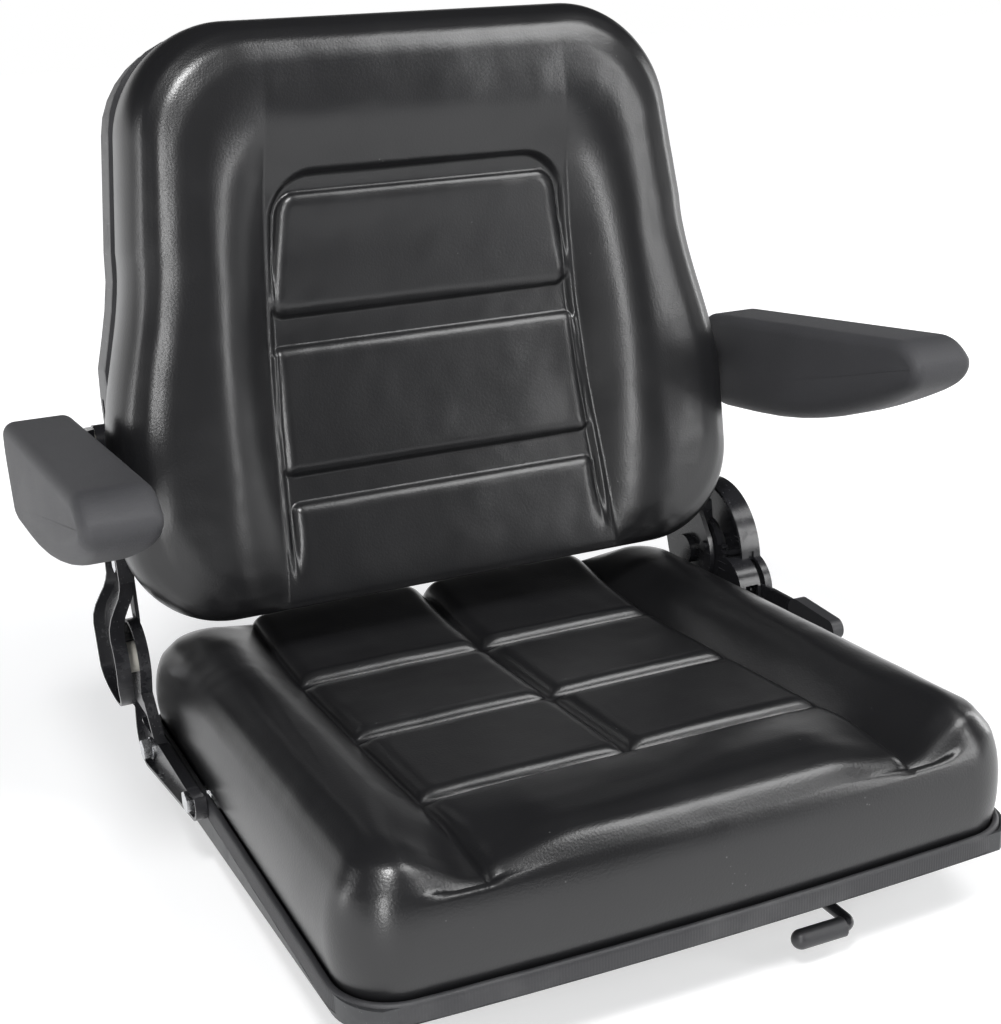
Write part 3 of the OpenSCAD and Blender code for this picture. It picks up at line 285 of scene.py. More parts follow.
def make_soft_folds():
    """Shallow folds and dents of a cover that lies on foam."""
    group, start, end = new_group("soft_folds", [("Place", None), ("Scale", 28.0)], ["Height"])
    stretch = group.nodes.new("ShaderNodeMapping")
    stretch.inputs["Scale"].default_value = (1.0, 0.45, 0.8)
    stretch.inputs["Rotation"].default_value = (0, 0, 0.5)
    group.links.new(start.outputs["Place"], stretch.inputs["Vector"])
    broad = add_noise(group, stretch.outputs[0], start.outputs["Scale"], 1.0, 0.35)
    group.links.new(broad, end.inputs["Height"])
    return group


def make_dust():
    """Sparse specks and faint wipes of dust."""
    group, start, end = new_group("dust", [("Place", None)], ["Specks", "Wipes"])
    cells = group.nodes.new("ShaderNodeTexVoronoi")
    cells.inputs["Scale"].default_value = 160
    group.links.new(start.outputs["Place"], cells.inputs["Vector"])
    dot = add_range(group, cells.outputs["Distance"], 0.05, 0.12, 1.0, 0.0)
    rare = add_noise(group, start.outputs["Place"], 47.0, 1)
    some = add_range(group, rare, 0.66, 0.72)
    group.links.new(add_math(group, "MULTIPLY", dot, some), end.inputs["Specks"])
    wipe = add_noise(group, start.outputs["Place"], 14.0, 5, 0.65)
    group.links.new(add_range(group, wipe, 0.45, 0.75), end.inputs["Wipes"])
    return group


def make_moulded_grain():
    """Sandy texture of a moulded skin, with slow changes in how coarse it is."""
    group, start, end = new_group("moulded_grain", [("Place", None), ("Scale", 900.0)], ["Height", "Tone"])
    sand = add_noise(group, start.outputs["Place"], start.outputs["Scale"], 3, 0.7)
    cells = group.nodes.new("ShaderNodeTexVoronoi")
    group.links.new(start.outputs["Place"], cells.inputs["Vector"])
    group.links.new(add_math(group, "MULTIPLY", start.outputs["Scale"], 0.75), cells.inputs["Scale"])
    total = add_math(group, "MULTIPLY_ADD", cells.outputs["Distance"], 0.6)
    group.links.new(sand, group.nodes[-1].inputs[2])
    group.links.new(total, end.inputs["Height"])
    group.links.new(add_noise(group, start.outputs["Place"], 16.0, 4, 0.6), end.inputs["Tone"])
    return group


def make_paint_skin():
    """Slight orange peel of dipped or sprayed paint, with rubbed spots and fine scratches."""
    group, start, end = new_group("paint_skin", [("Place", None)], ["Height", "Rubbed", "Scratches"])
    group.links.new(add_noise(group, start.outputs["Place"], 260.0, 2), end.inputs["Height"])
    rub = add_noise(group, start.outputs["Place"], 34.0, 6, 0.7)
    group.links.new(add_range(group, rub, 0.5, 0.78), end.inputs["Rubbed"])
    stretch = group.nodes.new("ShaderNodeMapping")
    stretch.inputs["Rotation"].default_value = (0.3, 0.6, 0.4)
    stretch.inputs["Scale"].default_value = (1, 0.04, 1)
    group.links.new(start.outputs["Place"], stretch.inputs["Vector"])
    line = add_noise(group, stretch.outputs[0], 900.0, 1)
    group.links.new(add_range(group, line, 0.71, 0.76), end.inputs["Scratches"])
    return group


def make_metal_skin():
    """Drawn and plated metal: fine lines along it and cloudy plating."""
    group, start, end = new_group("metal_skin", [("Place", None)], ["Height", "Cloud"])
    stretch = group.nodes.new("ShaderNodeMapping")
    stretch.inputs["Scale"].default_value = (0.05, 1, 1)
    group.links.new(start.outputs["Place"], stretch.inputs["Vector"])
    group.links.new(add_noise(group, stretch.outputs[0], 1400.0, 3), end.inputs["Height"])
    group.links.new(add_noise(group, start.outputs["Place"], 120.0, 4, 0.6), end.inputs["Cloud"])
    return group


SKIN_GRAIN = make_skin_grain()
SOFT_FOLDS = make_soft_folds()
DUST = make_dust()
MOULDED_GRAIN = make_moulded_grain()
PAINT_SKIN = make_paint_skin()
METAL_SKIN = make_metal_skin()


# ---- Finishes ----

class Finish:
    """A material under way: its tree, its shader and the piece's own coordinates."""

    def __init__(self, name, colour, roughness, metallic=0.0, specular=0.5):
        self.material = bpy.data.materials.new(name)
        self.material.use_nodes = True
        self.tree = self.material.node_tree
        self.shader = self.tree.nodes["Principled BSDF"]
        self.shader.inputs["Base Color"].default_value = (*colour, 1)
        self.shader.inputs["Roughness"].default_value = roughness
        self.shader.inputs["Metallic"].default_value = metallic
        self.shader.inputs["Specular IOR Level"].default_value = specular
        self.place = self.tree.nodes.new("ShaderNodeTexCoord").outputs["Object"]

    def effect(self, group, **values):
        node = self.tree.nodes.new("ShaderNodeGroup")
        node.node_tree = group
        self.tree.links.new(self.place, node.inputs["Place"])
        for label, value in values.items():
            node.inputs[label].default_value = value
        return node.outputs

    def colour_between(self, mask, first, second):
        node = self.tree.nodes.new("ShaderNodeMix")
        node.data_type = "RGBA"
        node.inputs["A"].default_value = (*first, 1) if isinstance(first, tuple) else (0, 0, 0, 1)
        if not isinstance(first, tuple):
            self.tree.links.new(first, node.inputs["A"])
        node.inputs["B"].default_value = (*second, 1)
        self.tree.links.new(mask, node.inputs["Factor"])
        return node.outputs["Result"]

    def set_colour(self, output):
        self.tree.links.new(output, self.shader.inputs["Base Color"])

    def set_roughness(self, value, low, high):
        self.tree.links.new(add_range(self.tree, value, 0.0, 1.0, low, high, False), self.shader.inputs["Roughness"])

    def relief(self, layers):
        """Bumps stacked on one another: (height output, depth in metres, strength)."""
        normal = None
        for height, depth, strength in layers:
            bump = self.tree.nodes.new("ShaderNodeBump")
            bump.inputs["Distance"].default_value = depth
            bump.inputs["Strength"].default_value = strength
            self.tree.links.new(height, bump.inputs["Height"])
            if normal:
                self.tree.links.new(normal, bump.inputs["Normal"])
            normal = bump.outputs["Normal"]
        self.tree.links.new(normal, self.shader.inputs["Normal"])


def black_vinyl(name, grain, fold_depth):
    """Satin black coated cloth with a fine pebble grain."""
    finish = Finish(name, (0.008, 0.008, 0.0085), 0.3, specular=0.62)
    skin = finish.effect(SKIN_GRAIN, Scale=grain)
    folds = finish.effect(SOFT_FOLDS)
    dust = finish.effect(DUST)
    tone = finish.colour_between(skin["Tone"], (0.0055, 0.0055, 0.006), (0.0105, 0.0105, 0.0115))
    finish.set_colour(finish.colour_between(dust["Specks"], tone, (0.08, 0.08, 0.08)))
    finish.set_roughness(dust["Wipes"], 0.29, 0.34)
    finish.relief([(folds["Height"], fold_depth, 0.35), (skin["Height"], 0.0002, 0.26)])
    return finish.material


def grained_foam(name):
    """Dark grey moulded polyurethane with a dry, sandy skin."""
    finish = Finish(name, (0.028, 0.028, 0.031), 0.6, specular=0.4)
    grain = finish.effect(MOULDED_GRAIN, Scale=950.0)
    dust = finish.effect(DUST)
    tone = finish.colour_between(grain["Tone"], (0.030, 0.030, 0.0325), (0.048, 0.048, 0.052))
    finish.set_colour(finish.colour_between(dust["Specks"], tone, (0.16, 0.16, 0.16)))
    finish.set_roughness(grain["Tone"], 0.5, 0.66)
    finish.relief([(grain["Height"], 0.0004, 0.55)])
    return finish.material


def moulded_plastic(name, colour, grain, roughness):
    finish = Finish(name, colour, roughness)
    skin = finish.effect(MOULDED_GRAIN, Scale=grain)
    dust = finish.effect(DUST)
    lighter = tuple(c * 1.5 + 0.004 for c in colour)
    tone = finish.colour_between(skin["Tone"], colour, lighter)
    finish.set_colour(finish.colour_between(dust["Wipes"], tone, tuple(c * 1.2 + 0.012 for c in colour)))
    finish.set_roughness(skin["Tone"], roughness - 0.08, roughness + 0.08)
    finish.relief([(skin["Height"], 0.00015, 0.3)])
    return finish.material


def black_paint(name, colour, roughness):
    """Painted steel: glossy enough to mirror the room softly, rubbed a little where it is handled."""
    finish = Finish(name, colour, roughness)
    skin = finish.effect(PAINT_SKIN)
    dust = finish.effect(DUST)
    rubbed = finish.colour_between(skin["Rubbed"], colour, tuple(c * 1.7 + 0.008 for c in colour))
    scratched = finish.colour_between(skin["Scratches"], rubbed, (0.10, 0.10, 0.105))
    finish.set_colour(finish.colour_between(dust["Specks"], scratched, (0.14, 0.14, 0.14)))
    finish.set_roughness(skin["Rubbed"], roughness - 0.04, roughness + 0.16)
    finish.relief([(skin["Height"], 0.0002, 0.18)])
    return finish.material


def bare_metal(name, colour, roughness, lines=0.12):
    finish = Finish(name, colour, roughness, metallic=1.0)
    skin = finish.effect(METAL_SKIN)
    darker = tuple(c * 0.72 for c in colour)
    finish.set_colour(finish.colour_between(skin["Cloud"], darker, colour))
    finish.set_roughness(skin["Cloud"], roughness - 0.06, roughness + 0.12)
    finish.relief([(skin["Height"], 0.0001, lines)])
    return finish.material


def ribbed_rubber(name):
    finish = Finish(name, (0.022, 0.022, 0.024), 0.5)
    grain = finish.effect(MOULDED_GRAIN, Scale=1300.0)
    dust = finish.effect(DUST)
    tone = finish.colour_between(grain["Tone"], (0.016, 0.016, 0.018), (0.032, 0.032, 0.035))
    finish.set_colour(finish.colour_between(dust["Wipes"], tone, (0.045, 0.045, 0.047)))
    finish.set_roughness(grain["Tone"], 0.4, 0.58)
    finish.relief([(grain["Height"], 0.0002, 0.35)])
    return finish.material


SEAT_VINYL = black_vinyl("seat_vinyl", 620.0, 0.0012)
BACK_VINYL = black_vinyl("back_vinyl", 620.0, 0.0012)
FINISHES = {
    "rail_steel": black_paint("rail_paint", (0.022, 0.022, 0.024), 0.34),
    "cage_nylon": moulded_plastic("cage_nylon", (0.60, 0.58, 0.52), 700.0, 0.45),
    "ball_steel": bare_metal("ball_steel", (0.75, 0.75, 0.77), 0.12, 0.02),
    "pan_steel": black_paint("pan_paint", (0.030, 0.031, 0.033), 0.46),
    "bright_zinc": bare_metal("bright_zinc", (0.80, 0.81, 0.83), 0.24),
    "black_rubber": ribbed_rubber("black_rubber"),
    "black_vinyl": SEAT_VINYL,
    "hinge_steel": black_paint("hinge_paint", (0.016, 0.016, 0.018), 0.27),
    "grip_plastic": moulded_plastic("grip_plastic", (0.020, 0.020, 0.022), 900.0, 0.45),
    "spring_steel": bare_metal("spring_steel", (0.42, 0.43, 0.45), 0.30),
    "bush_nylon": moulded_plastic("bush_nylon", (0.58, 0.56, 0.50), 700.0, 0.42),
    "shell_paint": black_paint("shell_paint", (0.020, 0.020, 0.022), 0.42),
    "box_plastic": moulded_plastic("box_plastic", (0.022, 0.022, 0.024), 850.0, 0.52),
    "armrest_foam": grained_foam("armrest_foam"),
}
slot_of = {row["node"]: row["material_slot"] for row in frame["record"]["subparts"]}
body_of = {node: body for body, names in frame["record"]["behaviour"]["bodies"].items() for node in names}


def paint(piece, material):
    piece.data.materials.clear()
    piece.data.materials.append(material)


for name, part in nodes.items():
    paint(part, FINISHES[slot_of[name]])


# ---- Tools for shaping ----

def finish_mesh(shape, name, material, smooth=True):
    """Turns a bmesh in millimetres into an object of the scene, in metres."""
    bmesh.ops.recalc_face_normals(shape, faces=shape.faces)
    bmesh.ops.scale(shape, vec=(MM, MM, MM), verts=shape.verts)
    for face in shape.faces:
        face.smooth = smooth
    mesh = bpy.data.meshes.new(name)
    shape.to_mesh(mesh)
    shape.free()
    piece = bpy.data.objects.new(name, mesh)
    bpy.context.collection.objects.link(piece)
    paint(piece, material)
    return piece


def stand_for(piece, node):
    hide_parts(node)
    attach(piece, body_of[node])


def spaced(low, high, coarse, spots):
    """Places from low to high that lie coarse apart, and closer near each (place, reach, spacing)."""
    x = np.linspace(low, high, 6001)
    density = np.full_like(x, 1 / coarse)
    for place, reach, fine in spots:
        nearness = np.clip(1.6 - np.abs(x - place) / reach, 0, 1)
        density = np.maximum(density, 1 / coarse + (1 / fine - 1 / coarse) * nearness)
    total = np.concatenate([[0], np.cumsum((density[1:] + density[:-1]) / 2 * np.diff(x))])
    count = math.ceil(total[-1])
    return np.interp(np.linspace(0, total[-1], count + 1), total, x)


def eased_curve(points, reach):
    """A function through the given points, with its bends eased over reach."""
    xs = np.arange(points[0][0] - reach, points[-1][0] + reach, 0.25)
    ys = np.interp(xs, [p[0] for p in points], [p[1] for p in points])
    kernel = np.hanning(int(reach / 0.25) // 2 * 2 + 3)[1:-1]
    half = len(kernel) // 2
    ys = np.convolve(np.pad(ys, half, mode="edge"), kernel / kernel.sum(), mode="valid")
    return lambda x: np.interp(x, xs, ys)


def ease(t):
    u = np.clip(t, 0, 1)
    return u * u * (3 - 2 * u)


def swell(t):
    """Rises at once and levels out at one, as a round roll does."""
    u = np.clip(t, 0, 1)
    return 1 - (1 - u) ** 2


def rolled(distance, width):
    """Height of an edge that rolls down to a crease, as a share."""
    u = np.clip(distance / width, 0, 1)
    return (1 - (1 - u) ** 2) ** 0.6


def above(value, soft):
    return 0.5 * (value + np.sqrt(value * value + soft * soft))


def ripples(x, y, scale, seed):
    return np.array([noise.noise(Vector((a / scale, b / scale, seed))) for a, b in zip(x, y)])


def draw_grid(us, vs):
    """A grid with its columns at us and its rows at vs, as a bmesh and its places in vertex order."""
    shape = bmesh.new()
    bmesh.ops.create_grid(shape, x_segments=len(us) - 1, y_segments=len(vs) - 1, size=1)
    flat = np.array([v.co[:] for v in shape.verts])
    column = np.rint((flat[:, 0] + 1) / 2 * (len(us) - 1)).astype(int)
    row = np.rint((flat[:, 1] + 1) / 2 * (len(vs) - 1)).astype(int)
    return shape, us[column], vs[row]


def round_corner(a, b, share):
    """Carries a corner square onto one whose outer corner is round, and leaves its inner sides."""
    far = np.maximum(np.maximum(a, b), 1e-9)
    slant = np.minimum(a, b) / far
    c = 1 - share
    root = np.maximum((c * (1 + slant)) ** 2 - (1 + slant ** 2) * (2 * c * c - share * share), 0)
    reach = (c * (1 + slant) + np.sqrt(root)) / (1 + slant ** 2)
    reach = np.where(slant > c, np.minimum(reach, 1), 1)
    scale = np.where((a > 0) & (b > 0), 1 + (reach - 1) * far ** 2, 1)
    return a * scale, b * scale


def move_to(shape, points):
    for vertex, point in zip(shape.verts, points):
        vertex.co = point


def skirt_down(shape, rings, place):
    """Extrudes the open edge ring after ring. place(points, ring) gives each ring's points."""
    edge = [e for e in shape.edges if e.is_boundary]
    for ring in rings:
        grown = bmesh.ops.extrude_edge_only(shape, edges=edge)["geom"]
        new = [v for v in grown if isinstance(v, bmesh.types.BMVert)]
        edge = [e for e in grown if isinstance(e, bmesh.types.BMEdge)]
        points = place(np.array([v.co[:] for v in new]), ring)
        for vertex, point in zip(new, points):
            vertex.co = point
    closed = bmesh.ops.edgeloop_fill(shape, edges=edge)["faces"]
    bmesh.ops.triangulate(shape, faces=closed)


# ---- Seat cushion ----

SEAT_MIDDLE = -7.0
SEAT_HALF = (240.0, 243.0)
BOW = (240.0 ** 2 + 7.0 ** 2) / (2 * 7.0)
RIM = 60.0
CROWN = 90.0
DROP = 17.0
SIDE_SEAM = 149.0
ROWS = (96.0, -20.0, -136.0)

crown_share = eased_curve([(2, 0.2), (4, 0.5), (9, 0.7), (19, 0.86), (34, 0.96), (54, 1), (90, 1)], 5)
seam_floor = eased_curve([
    (-260, 130), (-223, 127.3), (-128, 119.6), (-22, 113.4), (60, 109.8), (105, 108.8), (150, 111), (185, 115.5),
    (215, 120), (250, 124)
], 40)


def seat_corner(inset):
    return np.maximum(42 - inset, 14) + np.maximum(inset - 10, 0) * 0.6


def bow_back(x, y):
    """How far the front edge's bow lies back at x, for a point y from the seat's middle."""
    return (BOW - np.sqrt(BOW * BOW - x * x)) * np.clip(-y / 150, 0, 1)


def seat_inset(x, y):
    """How far a point lies inside the trim's outline, along the outlines of the cushion's rings."""
    y = y - SEAT_MIDDLE
    y = y - bow_back(x, y)
    low = np.full_like(x, -8.0)
    high = np.full_like(x, 90.0)
    for _ in range(26):
        mid = (low + high) / 2
        r = seat_corner(mid)
        qx = np.abs(x) - (SEAT_HALF[0] - mid - r)
        qy = np.abs(y) - (SEAT_HALF[1] - mid - r)
        out = np.hypot(np.maximum(qx, 0), np.maximum(qy, 0)) + np.minimum(np.maximum(qx, qy), 0) - r
        low = np.where(out < 0, mid, low)
        high = np.where(out < 0, high, mid)
    return (low + high) / 2


def seat_crown(share, y):
    return RIM + share * (CROWN - DROP * ((y - SEAT_MIDDLE) / 486 + 0.5))


def seat_top(x, y):
    """Height of the cushion's top: a crowned form, sunken between its bolsters, with sewn pads."""
    across = np.abs(x)
    crown = seat_crown(crown_share(seat_inset(x, y)), y)
    floor = seam_floor(y)
    blunt = ease((-140 - y) / 70)
    outer, inner = (across - SIDE_SEAM) / 54, (SIDE_SEAM - across) / 60
    bolster = (1 - blunt) * swell(outer) + blunt * ease(outer)
    front = 0.55 * ease((-130 - y) / 84) * ((1 - blunt) * swell(inner) + blunt * ease(inner))
    sunk = 1 - np.maximum(bolster, front)
    row = np.ones_like(x)
    for seam in ROWS:
        row *= np.where(y > seam, rolled(y - seam - 2.5, 11), rolled(seam - y - 2.5, 17))
    centre = np.where(y < ROWS[2], 1, rolled(across - 1.5, 14))
    side = rolled(SIDE_SEAM - across - 0.8, 13)
    pads = 7.2 * row * centre * side * sunk
    pads += 1.1 * row * centre * side * sunk * np.cos(np.clip((across - 75) / 80, -1, 1) * 1.5)
    deeper = 6.0 * ease((y - 115) / 90) * (1 - rolled(across - 1.5, 17)) * sunk
    folds = 0.45 * ripples(x, y, 46, 1.0) + 0.18 * ripples(x, y, 15, 5.0)
    soft = 5 + 22 * ease((-160 - y) / 55)
    return crown - above(crown - floor, soft) * sunk + pads - deeper + folds


def make_seat_cushion():
    top_inset = 10.0
    half = (SEAT_HALF[0] - top_inset, SEAT_HALF[1] - top_inset)
    us = spaced(-half[0], half[0], 5, [(0, 14, 1.6), (SIDE_SEAM, 12, 1.4), (-SIDE_SEAM, 12, 1.4), (half[0], 14, 2.6), (-half[0], 14, 2.6)])
    spots = [(seam - SEAT_MIDDLE, 13, 1.4) for seam in ROWS] + [(half[1], 14, 2.6), (-half[1], 14, 2.6)]
    vs = spaced(-half[1], half[1], 5, spots)
    shape, x, y = draw_grid(us, vs)
    zone = 80.0
    a, b = round_corner((np.abs(x) - half[0] + zone) / zone, (np.abs(y) - half[1] + zone) / zone, seat_corner(top_inset) / zone)
    inside = ((np.abs(x) > half[0] - zone) & (np.abs(y) > half[1] - zone))
    x = np.where(inside, np.sign(x) * (half[0] - zone + a * zone), x)
    y = np.where(inside, np.sign(y) * (half[1] - zone + b * zone), y)
    y = y + bow_back(x, y) + SEAT_MIDDLE
    move_to(shape, np.stack([x, y, seat_top(x, y)], axis=1))

    def ring_place(points, ring):
        inset, share, drop = ring
        px, py = points[:, 0], points[:, 1]
        for _ in range(2):
            now = seat_inset(px, py)
            gx = (seat_inset(px + 0.5, py) - seat_inset(px - 0.5, py))
            gy = (seat_inset(px, py + 0.5) - seat_inset(px, py - 0.5))
            size = np.hypot(gx, gy)
            px = px + (inset - now) * gx / size
            py = py + (inset - now) * gy / size
        return np.stack([px, py, seat_crown(np.full_like(px, share), py) + drop], axis=1)

    rings = [
        (8.2, 0.672, 0), (6.4, 0.61, 0), (4.9, 0.545, 0), (3.8, 0.47, 0), (3.1, 0.39, 0), (2.9, 0.31, 0), (3.0, 0.23, 0),
        (3.5, 0.15, 0), (4.3, 0.08, 0), (5.3, 0.03, 0), (6.4, 0.0, 0), (6.4, 0.0, -6), (6.4, 0.0, -11.5), (30, 0.0, -11.5)
    ]
    skirt_down(shape, rings, ring_place)
    cushion = finish_mesh(shape, "seat_cover", SEAT_VINYL)
    stand_for(cushion, "seat_cushion")


make_seat_cushion()


# ---- Back cushion, shaped upright behind the recline axis and then leant back ----

LEAN = math.radians(7.7)
PIVOT = Vector((0, 192, 122))
BACK_LOW = 24.0
BACK_TOP = 464.0


def lean_back(shape):
    bmesh.ops.rotate(shape, cent=(0, 0, 0), matrix=Matrix.Rotation(-LEAN, 3, "X"), verts=shape.verts)
    bmesh.ops.translate(shape, vec=PIVOT, verts=shape.verts)


def back_half(z):
    upper = 15.0 * np.clip((z - 0.66 * BACK_TOP) / (0.28 * BACK_TOP), 0, 2)
    low = ease((0.66 * BACK_TOP - z) / (0.32 * BACK_TOP))
    return (229 - upper) * (1 - low) + 255.5 * low


def corner_cut(d, r):
    return np.where(d >= r, 0, r - np.sqrt(np.maximum(r * r - (r - np.maximum(d, 0)) ** 2, 0)))


def back_inset(x, z):
    low = np.full_like(x, -8.0)
    high = np.full_like(x, 90.0)
    for _ in range(26):
        mid = (low + high) / 2
        r = np.maximum(75 - mid * 0.3, 20)
        down = z - BACK_LOW - mid
        up = BACK_TOP - mid - z
        half = back_half(z) - mid - corner_cut(down, r) - corner_cut(up, r)
        inside = (np.abs(x) < half) & (down > 0) & (up > 0)
        low = np.where(inside, mid, low)
        high = np.where(inside, high, mid)
    return (low + high) / 2


back_depth = eased_curve([(-2, 36), (0, 44), (3, 57), (9, 68), (19, 76), (33, 80.5), (52, 82), (90, 82)], 5)
field_depth = eased_curve([(0, 63.5), (50, 62.5), (107, 57), (165, 49.5), (235, 47.5), (300, 54), (345, 62), (400, 84), (470, 95)], 36)
PADS = ((246, 338, 127, 113, 15), (127, 225, 131, 127.5, 9), (20, 107, 131, 129, 9))


def panel_distance(x, z, low, top, half_low, half_top, r):
    """How far a point lies inside a panel whose sides lean in towards its top."""
    half = half_low + (half_top - half_low) * (z - low) / (top - low)
    qx = np.abs(x) - (half - r)
    qz = np.abs(z - (low + top) / 2) - ((top - low) / 2 - r)
    return r - np.hypot(np.maximum(qx, 0), np.maximum(qz, 0)) - np.minimum(np.maximum(qx, qz), 0)


def back_front(x, z):
    """How far the cushion's face stands forward: bolsters round a hollow that holds three pads."""
    across = np.abs(x)
    crown = back_depth(back_inset(x, z))
    hollow = field_depth(z)
    edge = 141 - 18 * np.clip((z - 38) / 316, 0, 1.2)
    sunk = 1 - swell((across - edge) / 50)
    face = crown - above(crown - hollow, 5) * sunk
    fade = ease((z - 44) / 42)
    recess = panel_distance(x, z, -20, 354, 141, 121, 36)
    face = face - 6.0 * ease(recess / 5.0) * fade
    for low, top, half_low, half_top, r in PADS:
        inside = panel_distance(x, z, low, top, half_low, half_top, r)
        face = face + 6.2 * rolled(inside, 11) * fade
    face = face + 0.5 * ripples(x, z, 52, 3.0) + 0.2 * ripples(x, z, 16, 8.0)
    return face


def make_back_cushion():
    rim_inset = 6.0
    low, top = BACK_LOW + rim_inset, BACK_TOP - rim_inset
    middle_z = (low + top) / 2
    half_z = (top - low) / 2
    lines = [(s * w, 10, 1.7) for s in (-1, 1) for w in (0.475, 0.515, 0.545)]
    us = spaced(-1, 1, 0.022, [(p, 0.045, 0.0065) for p, _, _ in lines] + [(1, 0.06, 0.011), (-1, 0.06, 0.011)])
    spots = [(z, 11, 1.5) for z in (107, 127, 225, 246, 338, 354)] + [(low, 14, 2.6), (top, 14, 2.6)]
    vs = spaced(low, top, 5, spots)
    shape, u, z = draw_grid(us, vs)
    zone = 110.0
    r = 75 - 0.3 * rim_inset
    side = back_half(z) - rim_inset
    x = u * side
    a = (np.abs(x) - side + zone) / zone
    b = (np.abs(z - middle_z) - half_z + zone) / zone
    inside = (a > 0) & (b > 0)
    a2, b2 = round_corner(a, b, r / zone)
    z = np.where(inside, middle_z + np.sign(z - middle_z) * (half_z - zone + b2 * zone), z)
    side = back_half(z) - rim_inset
    x = np.where(inside, np.sign(x) * (side - zone + a2 * zone), x)
    move_to(shape, np.stack([x, -back_front(x, z), z], axis=1))

    def ring_place(points, ring):
        inset, depth = ring
        px, pz = points[:, 0], points[:, 2]
        for _ in range(2):
            now = back_inset(px, pz)
            gx = back_inset(px + 0.5, pz) - back_inset(px - 0.5, pz)
            gz = back_inset(px, pz + 0.5) - back_inset(px, pz - 0.5)
            size = np.maximum(np.hypot(gx, gz), 1e-6)
            px = px + (inset - now) * gx / size
            pz = pz + (inset - now) * gz / size
        return np.stack([px, np.full_like(px, -depth), pz], axis=1)

    rings = [
        (4.6, 60.2), (3.0, 55.8), (1.7, 51), (0.8, 46), (0.2, 40), (0, 33), (0.1, 26), (0.5, 19), (1.2, 13), (2.4, 8),
        (4.2, 4), (6.4, 1.2), (8, -0.7), (30, -0.7)
    ]
    skirt_down(shape, rings, ring_place)
    lean_back(shape)
    cushion = finish_mesh(shape, "back_cover", BACK_VINYL)
    stand_for(cushion, "back_cushion")


make_back_cushion()


# ---- Armrest pads: boat shaped, with a creased bevel at the front ----

def armrest_side_line():
    """Side view of a pad, forward and up from its rear end at the top, once round."""
    length, height, start, belly = 312.0, 81.0, 20.0, 520.0
    front = [(length - 26, 0), (length - 19, -1.6), (length - 12, -5), (length - 6, -10), (length - 2.4, -14.2)]
    nose = [(length - 1.4, -15.6), (length - 0.6, -19), (length - 1.2, -24), (length - 4, -29.5), (length - 10, -35)]
    sweep = [
        (f, -height + belly - math.sqrt(belly ** 2 - max(f - 90, 0) ** 2))
        for f in (292, 280, 265, 245, 225, 200, 175, 150, 120, 90, 60)
    ]
    rear = [(40, -height), (30, -height + 3), (start + 2.5, -height + 11), (start, -height + 22), (start, -40)]
    close = [(start, -18), (start + 1.5, -8), (start + 6, -2), (start + 14, 0)]
    line = np.array([(start + 40, 0), (length - 90, 0)] + front + nose + sweep + rear + close + [(start + 40, 0)])
    run = np.concatenate([[0], np.cumsum(np.hypot(*np.diff(line, axis=0).T))])
    at = np.linspace(0, run[-1], 1201)
    dense = np.stack([np.interp(at, run, line[:, 0]), np.interp(at, run, line[:, 1])], axis=1)
    kernel = np.hanning(27)[1:-1]
    kernel /= kernel.sum()
    soft = np.stack([
        np.convolve(np.concatenate([c[-13:-1], c, c[1:13]]), kernel, mode="valid") for c in dense.T
    ], axis=1)
    crease = np.exp(-((dense[:, 0] - length + 2) ** 2 + (dense[:, 1] + 15) ** 2) / 30)[:, None]
    return dense * crease + soft * (1 - crease)


def make_armrest(side, rise, tilt, node, body):
    line = armrest_side_line()
    count, steps = 240, 9
    places = np.linspace(0, 1, count + 1)
    angles = np.concatenate([
        np.linspace(-90, 0, steps), np.linspace(0, 90, steps) + 90
    ])
    shape, u, v = draw_grid(places, angles)
    index = np.linspace(0, 1, len(line))
    f, z = np.interp(u, index, line[:, 0]), np.interp(u, index, line[:, 1])
    df = np.interp((u + 0.004) % 1, index, line[:, 0]) - np.interp((u - 0.004) % 1, index, line[:, 0])
    dz = np.interp((u + 0.004) % 1, index, line[:, 1]) - np.interp((u - 0.004) % 1, index, line[:, 1])
    long = np.hypot(df, dz)
    nf, nz = dz / long, -df / long
    radius = 9 + 8 * ease((-20 - z) / 45)
    left_half = v <= 0
    turn = np.radians(np.where(left_half, v, v - 90))
    inward = radius * (1 - np.cos(turn))
    across = np.where(left_half, 300 - (26 - radius) + radius * np.sin(turn), 300 + (26 - radius) + radius * np.sin(turn))
    f, z = f + nf * inward, z + nz * inward
    move_to(shape, np.stack([side * across, -f, z + rise], axis=1))
    bmesh.ops.remove_doubles(shape, verts=shape.verts, dist=0.01)
    ends = bmesh.ops.edgeloop_fill(shape, edges=[e for e in shape.edges if e.is_boundary])["faces"]
    bmesh.ops.triangulate(shape, faces=ends)
    bmesh.ops.rotate(shape, cent=(0, 0, 0), matrix=Matrix.Rotation(LEAN - math.radians(tilt), 3, "X"), verts=shape.verts)
    bmesh.ops.translate(shape, vec=(0, 25, 165), verts=shape.verts)
    lean_back(shape)
    pad = finish_mesh(shape, node.replace("armrest_pad", "armrest_cover"), FINISHES["armrest_foam"])
    stand_for(pad, node)


make_armrest(-1, 32.0, 3.0, "armrest_pad_left", "armrest_left")
make_armrest(1, 40.0, 4.6, "armrest_pad_right", "armrest_right")


# ---- Edge trim: a ribbed rubber channel with a rounded top ----

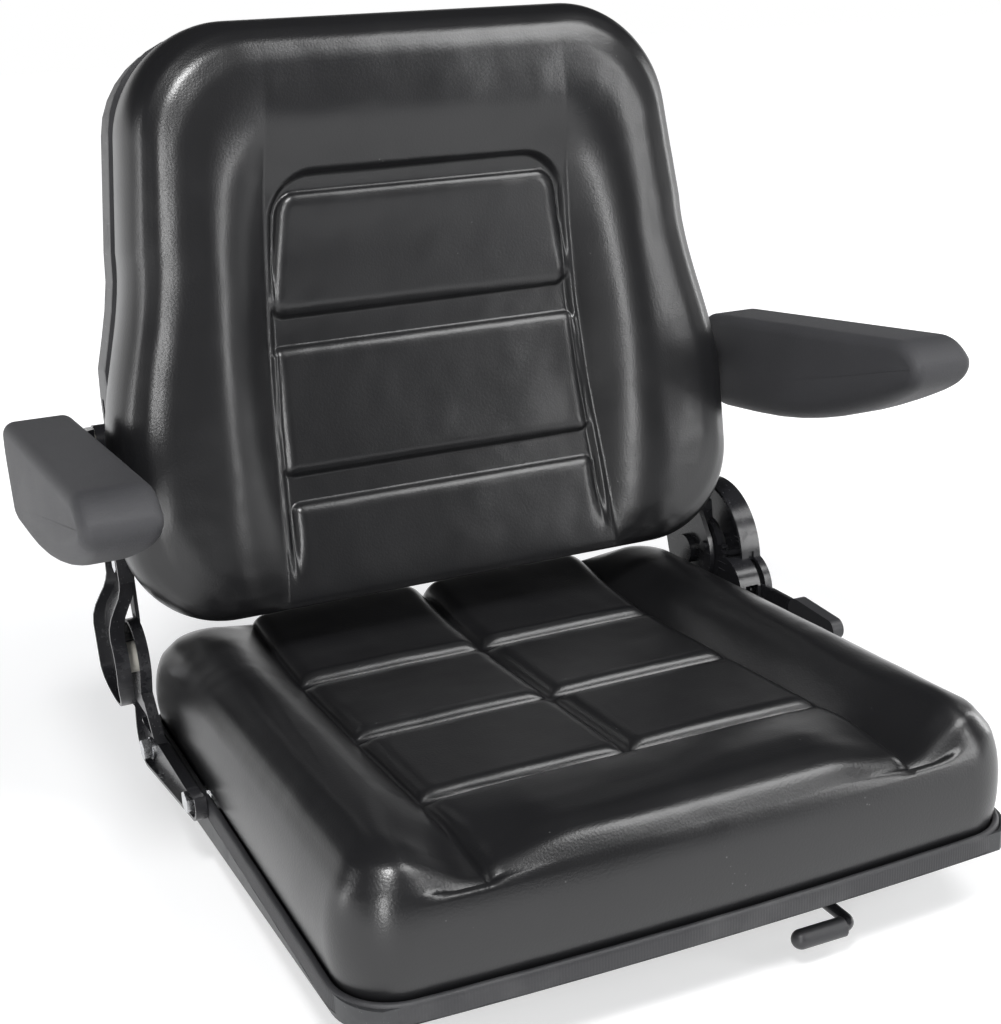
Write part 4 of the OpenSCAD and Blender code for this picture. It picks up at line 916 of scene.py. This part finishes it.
def make_edge_trim():
    half_x, half_y, r = SEAT_HALF[0], SEAT_HALF[1], 42.0
    arc = math.pi / 2 * r
    straight = [2 * (half_y - r), 2 * (half_x - r)] * 2
    total = sum(straight) + 4 * arc
    ribs = round(total / 2.0)
    columns = ribs * 3
    section = np.array([
        (0.1, 46.3), (0.0, 48), (0.0, 52), (0.0, 56.2), (0.3, 58), (1.2, 59.4), (2.6, 60.0), (4.0, 59.9), (5.0, 59.2),
        (5.3, 58), (5.3, 55.4), (3.95, 55.4), (3.9, 57.8), (1.85, 57.8), (1.8, 52), (1.8, 46.3), (0.9, 46.0), (0.1, 46.3)
    ])
    shape, u, v = draw_grid(np.linspace(0, 1, columns + 1), np.arange(len(section)) / (len(section) - 1.0))
    row = np.rint(v * (len(section) - 1)).astype(int)
    run = (u % 1) * total
    x, y, nx, ny = (np.zeros_like(u) for _ in range(4))
    start = 0.0
    for k in range(4):
        a = k * math.pi / 2
        half_run, half_out = (half_y, half_x) if k % 2 == 0 else (half_x, half_y)
        here = (run >= start - 1e-9) & (run < start + straight[k])
        t = run - start - straight[k] / 2
        lx, ly = np.full_like(u, half_out), t
        x = np.where(here, lx * math.cos(a) - ly * math.sin(a), x)
        y = np.where(here, lx * math.sin(a) + ly * math.cos(a), y)
        nx, ny = np.where(here, math.cos(a), nx), np.where(here, math.sin(a), ny)
        start += straight[k]
        here = (run >= start) & (run < start + arc)
        b = (run - start) / r
        lx, ly = half_out - r + r * np.cos(b), half_run - r + r * np.sin(b)
        x = np.where(here, lx * math.cos(a) - ly * math.sin(a), x)
        y = np.where(here, lx * math.sin(a) + ly * math.cos(a), y)
        nx, ny = np.where(here, np.cos(a + b), nx), np.where(here, np.sin(a + b), ny)
        start += arc
    rib = np.where(row <= 4, 0.16 * np.cos(u * ribs * 2 * math.pi), 0) + 0.1 * np.sin(u * 2 * math.pi * 37)
    inward = section[row, 0] + np.where(row <= 8, 0.16 - rib, 0)
    x, y = x - nx * inward, y - ny * inward
    y = y + bow_back(x, y) + SEAT_MIDDLE
    move_to(shape, np.stack([x, y, section[row, 1]], axis=1))
    bmesh.ops.remove_doubles(shape, verts=shape.verts, dist=0.005)
    stand_for(finish_mesh(shape, "trim_channel", FINISHES["black_rubber"]), "edge_trim")


make_edge_trim()
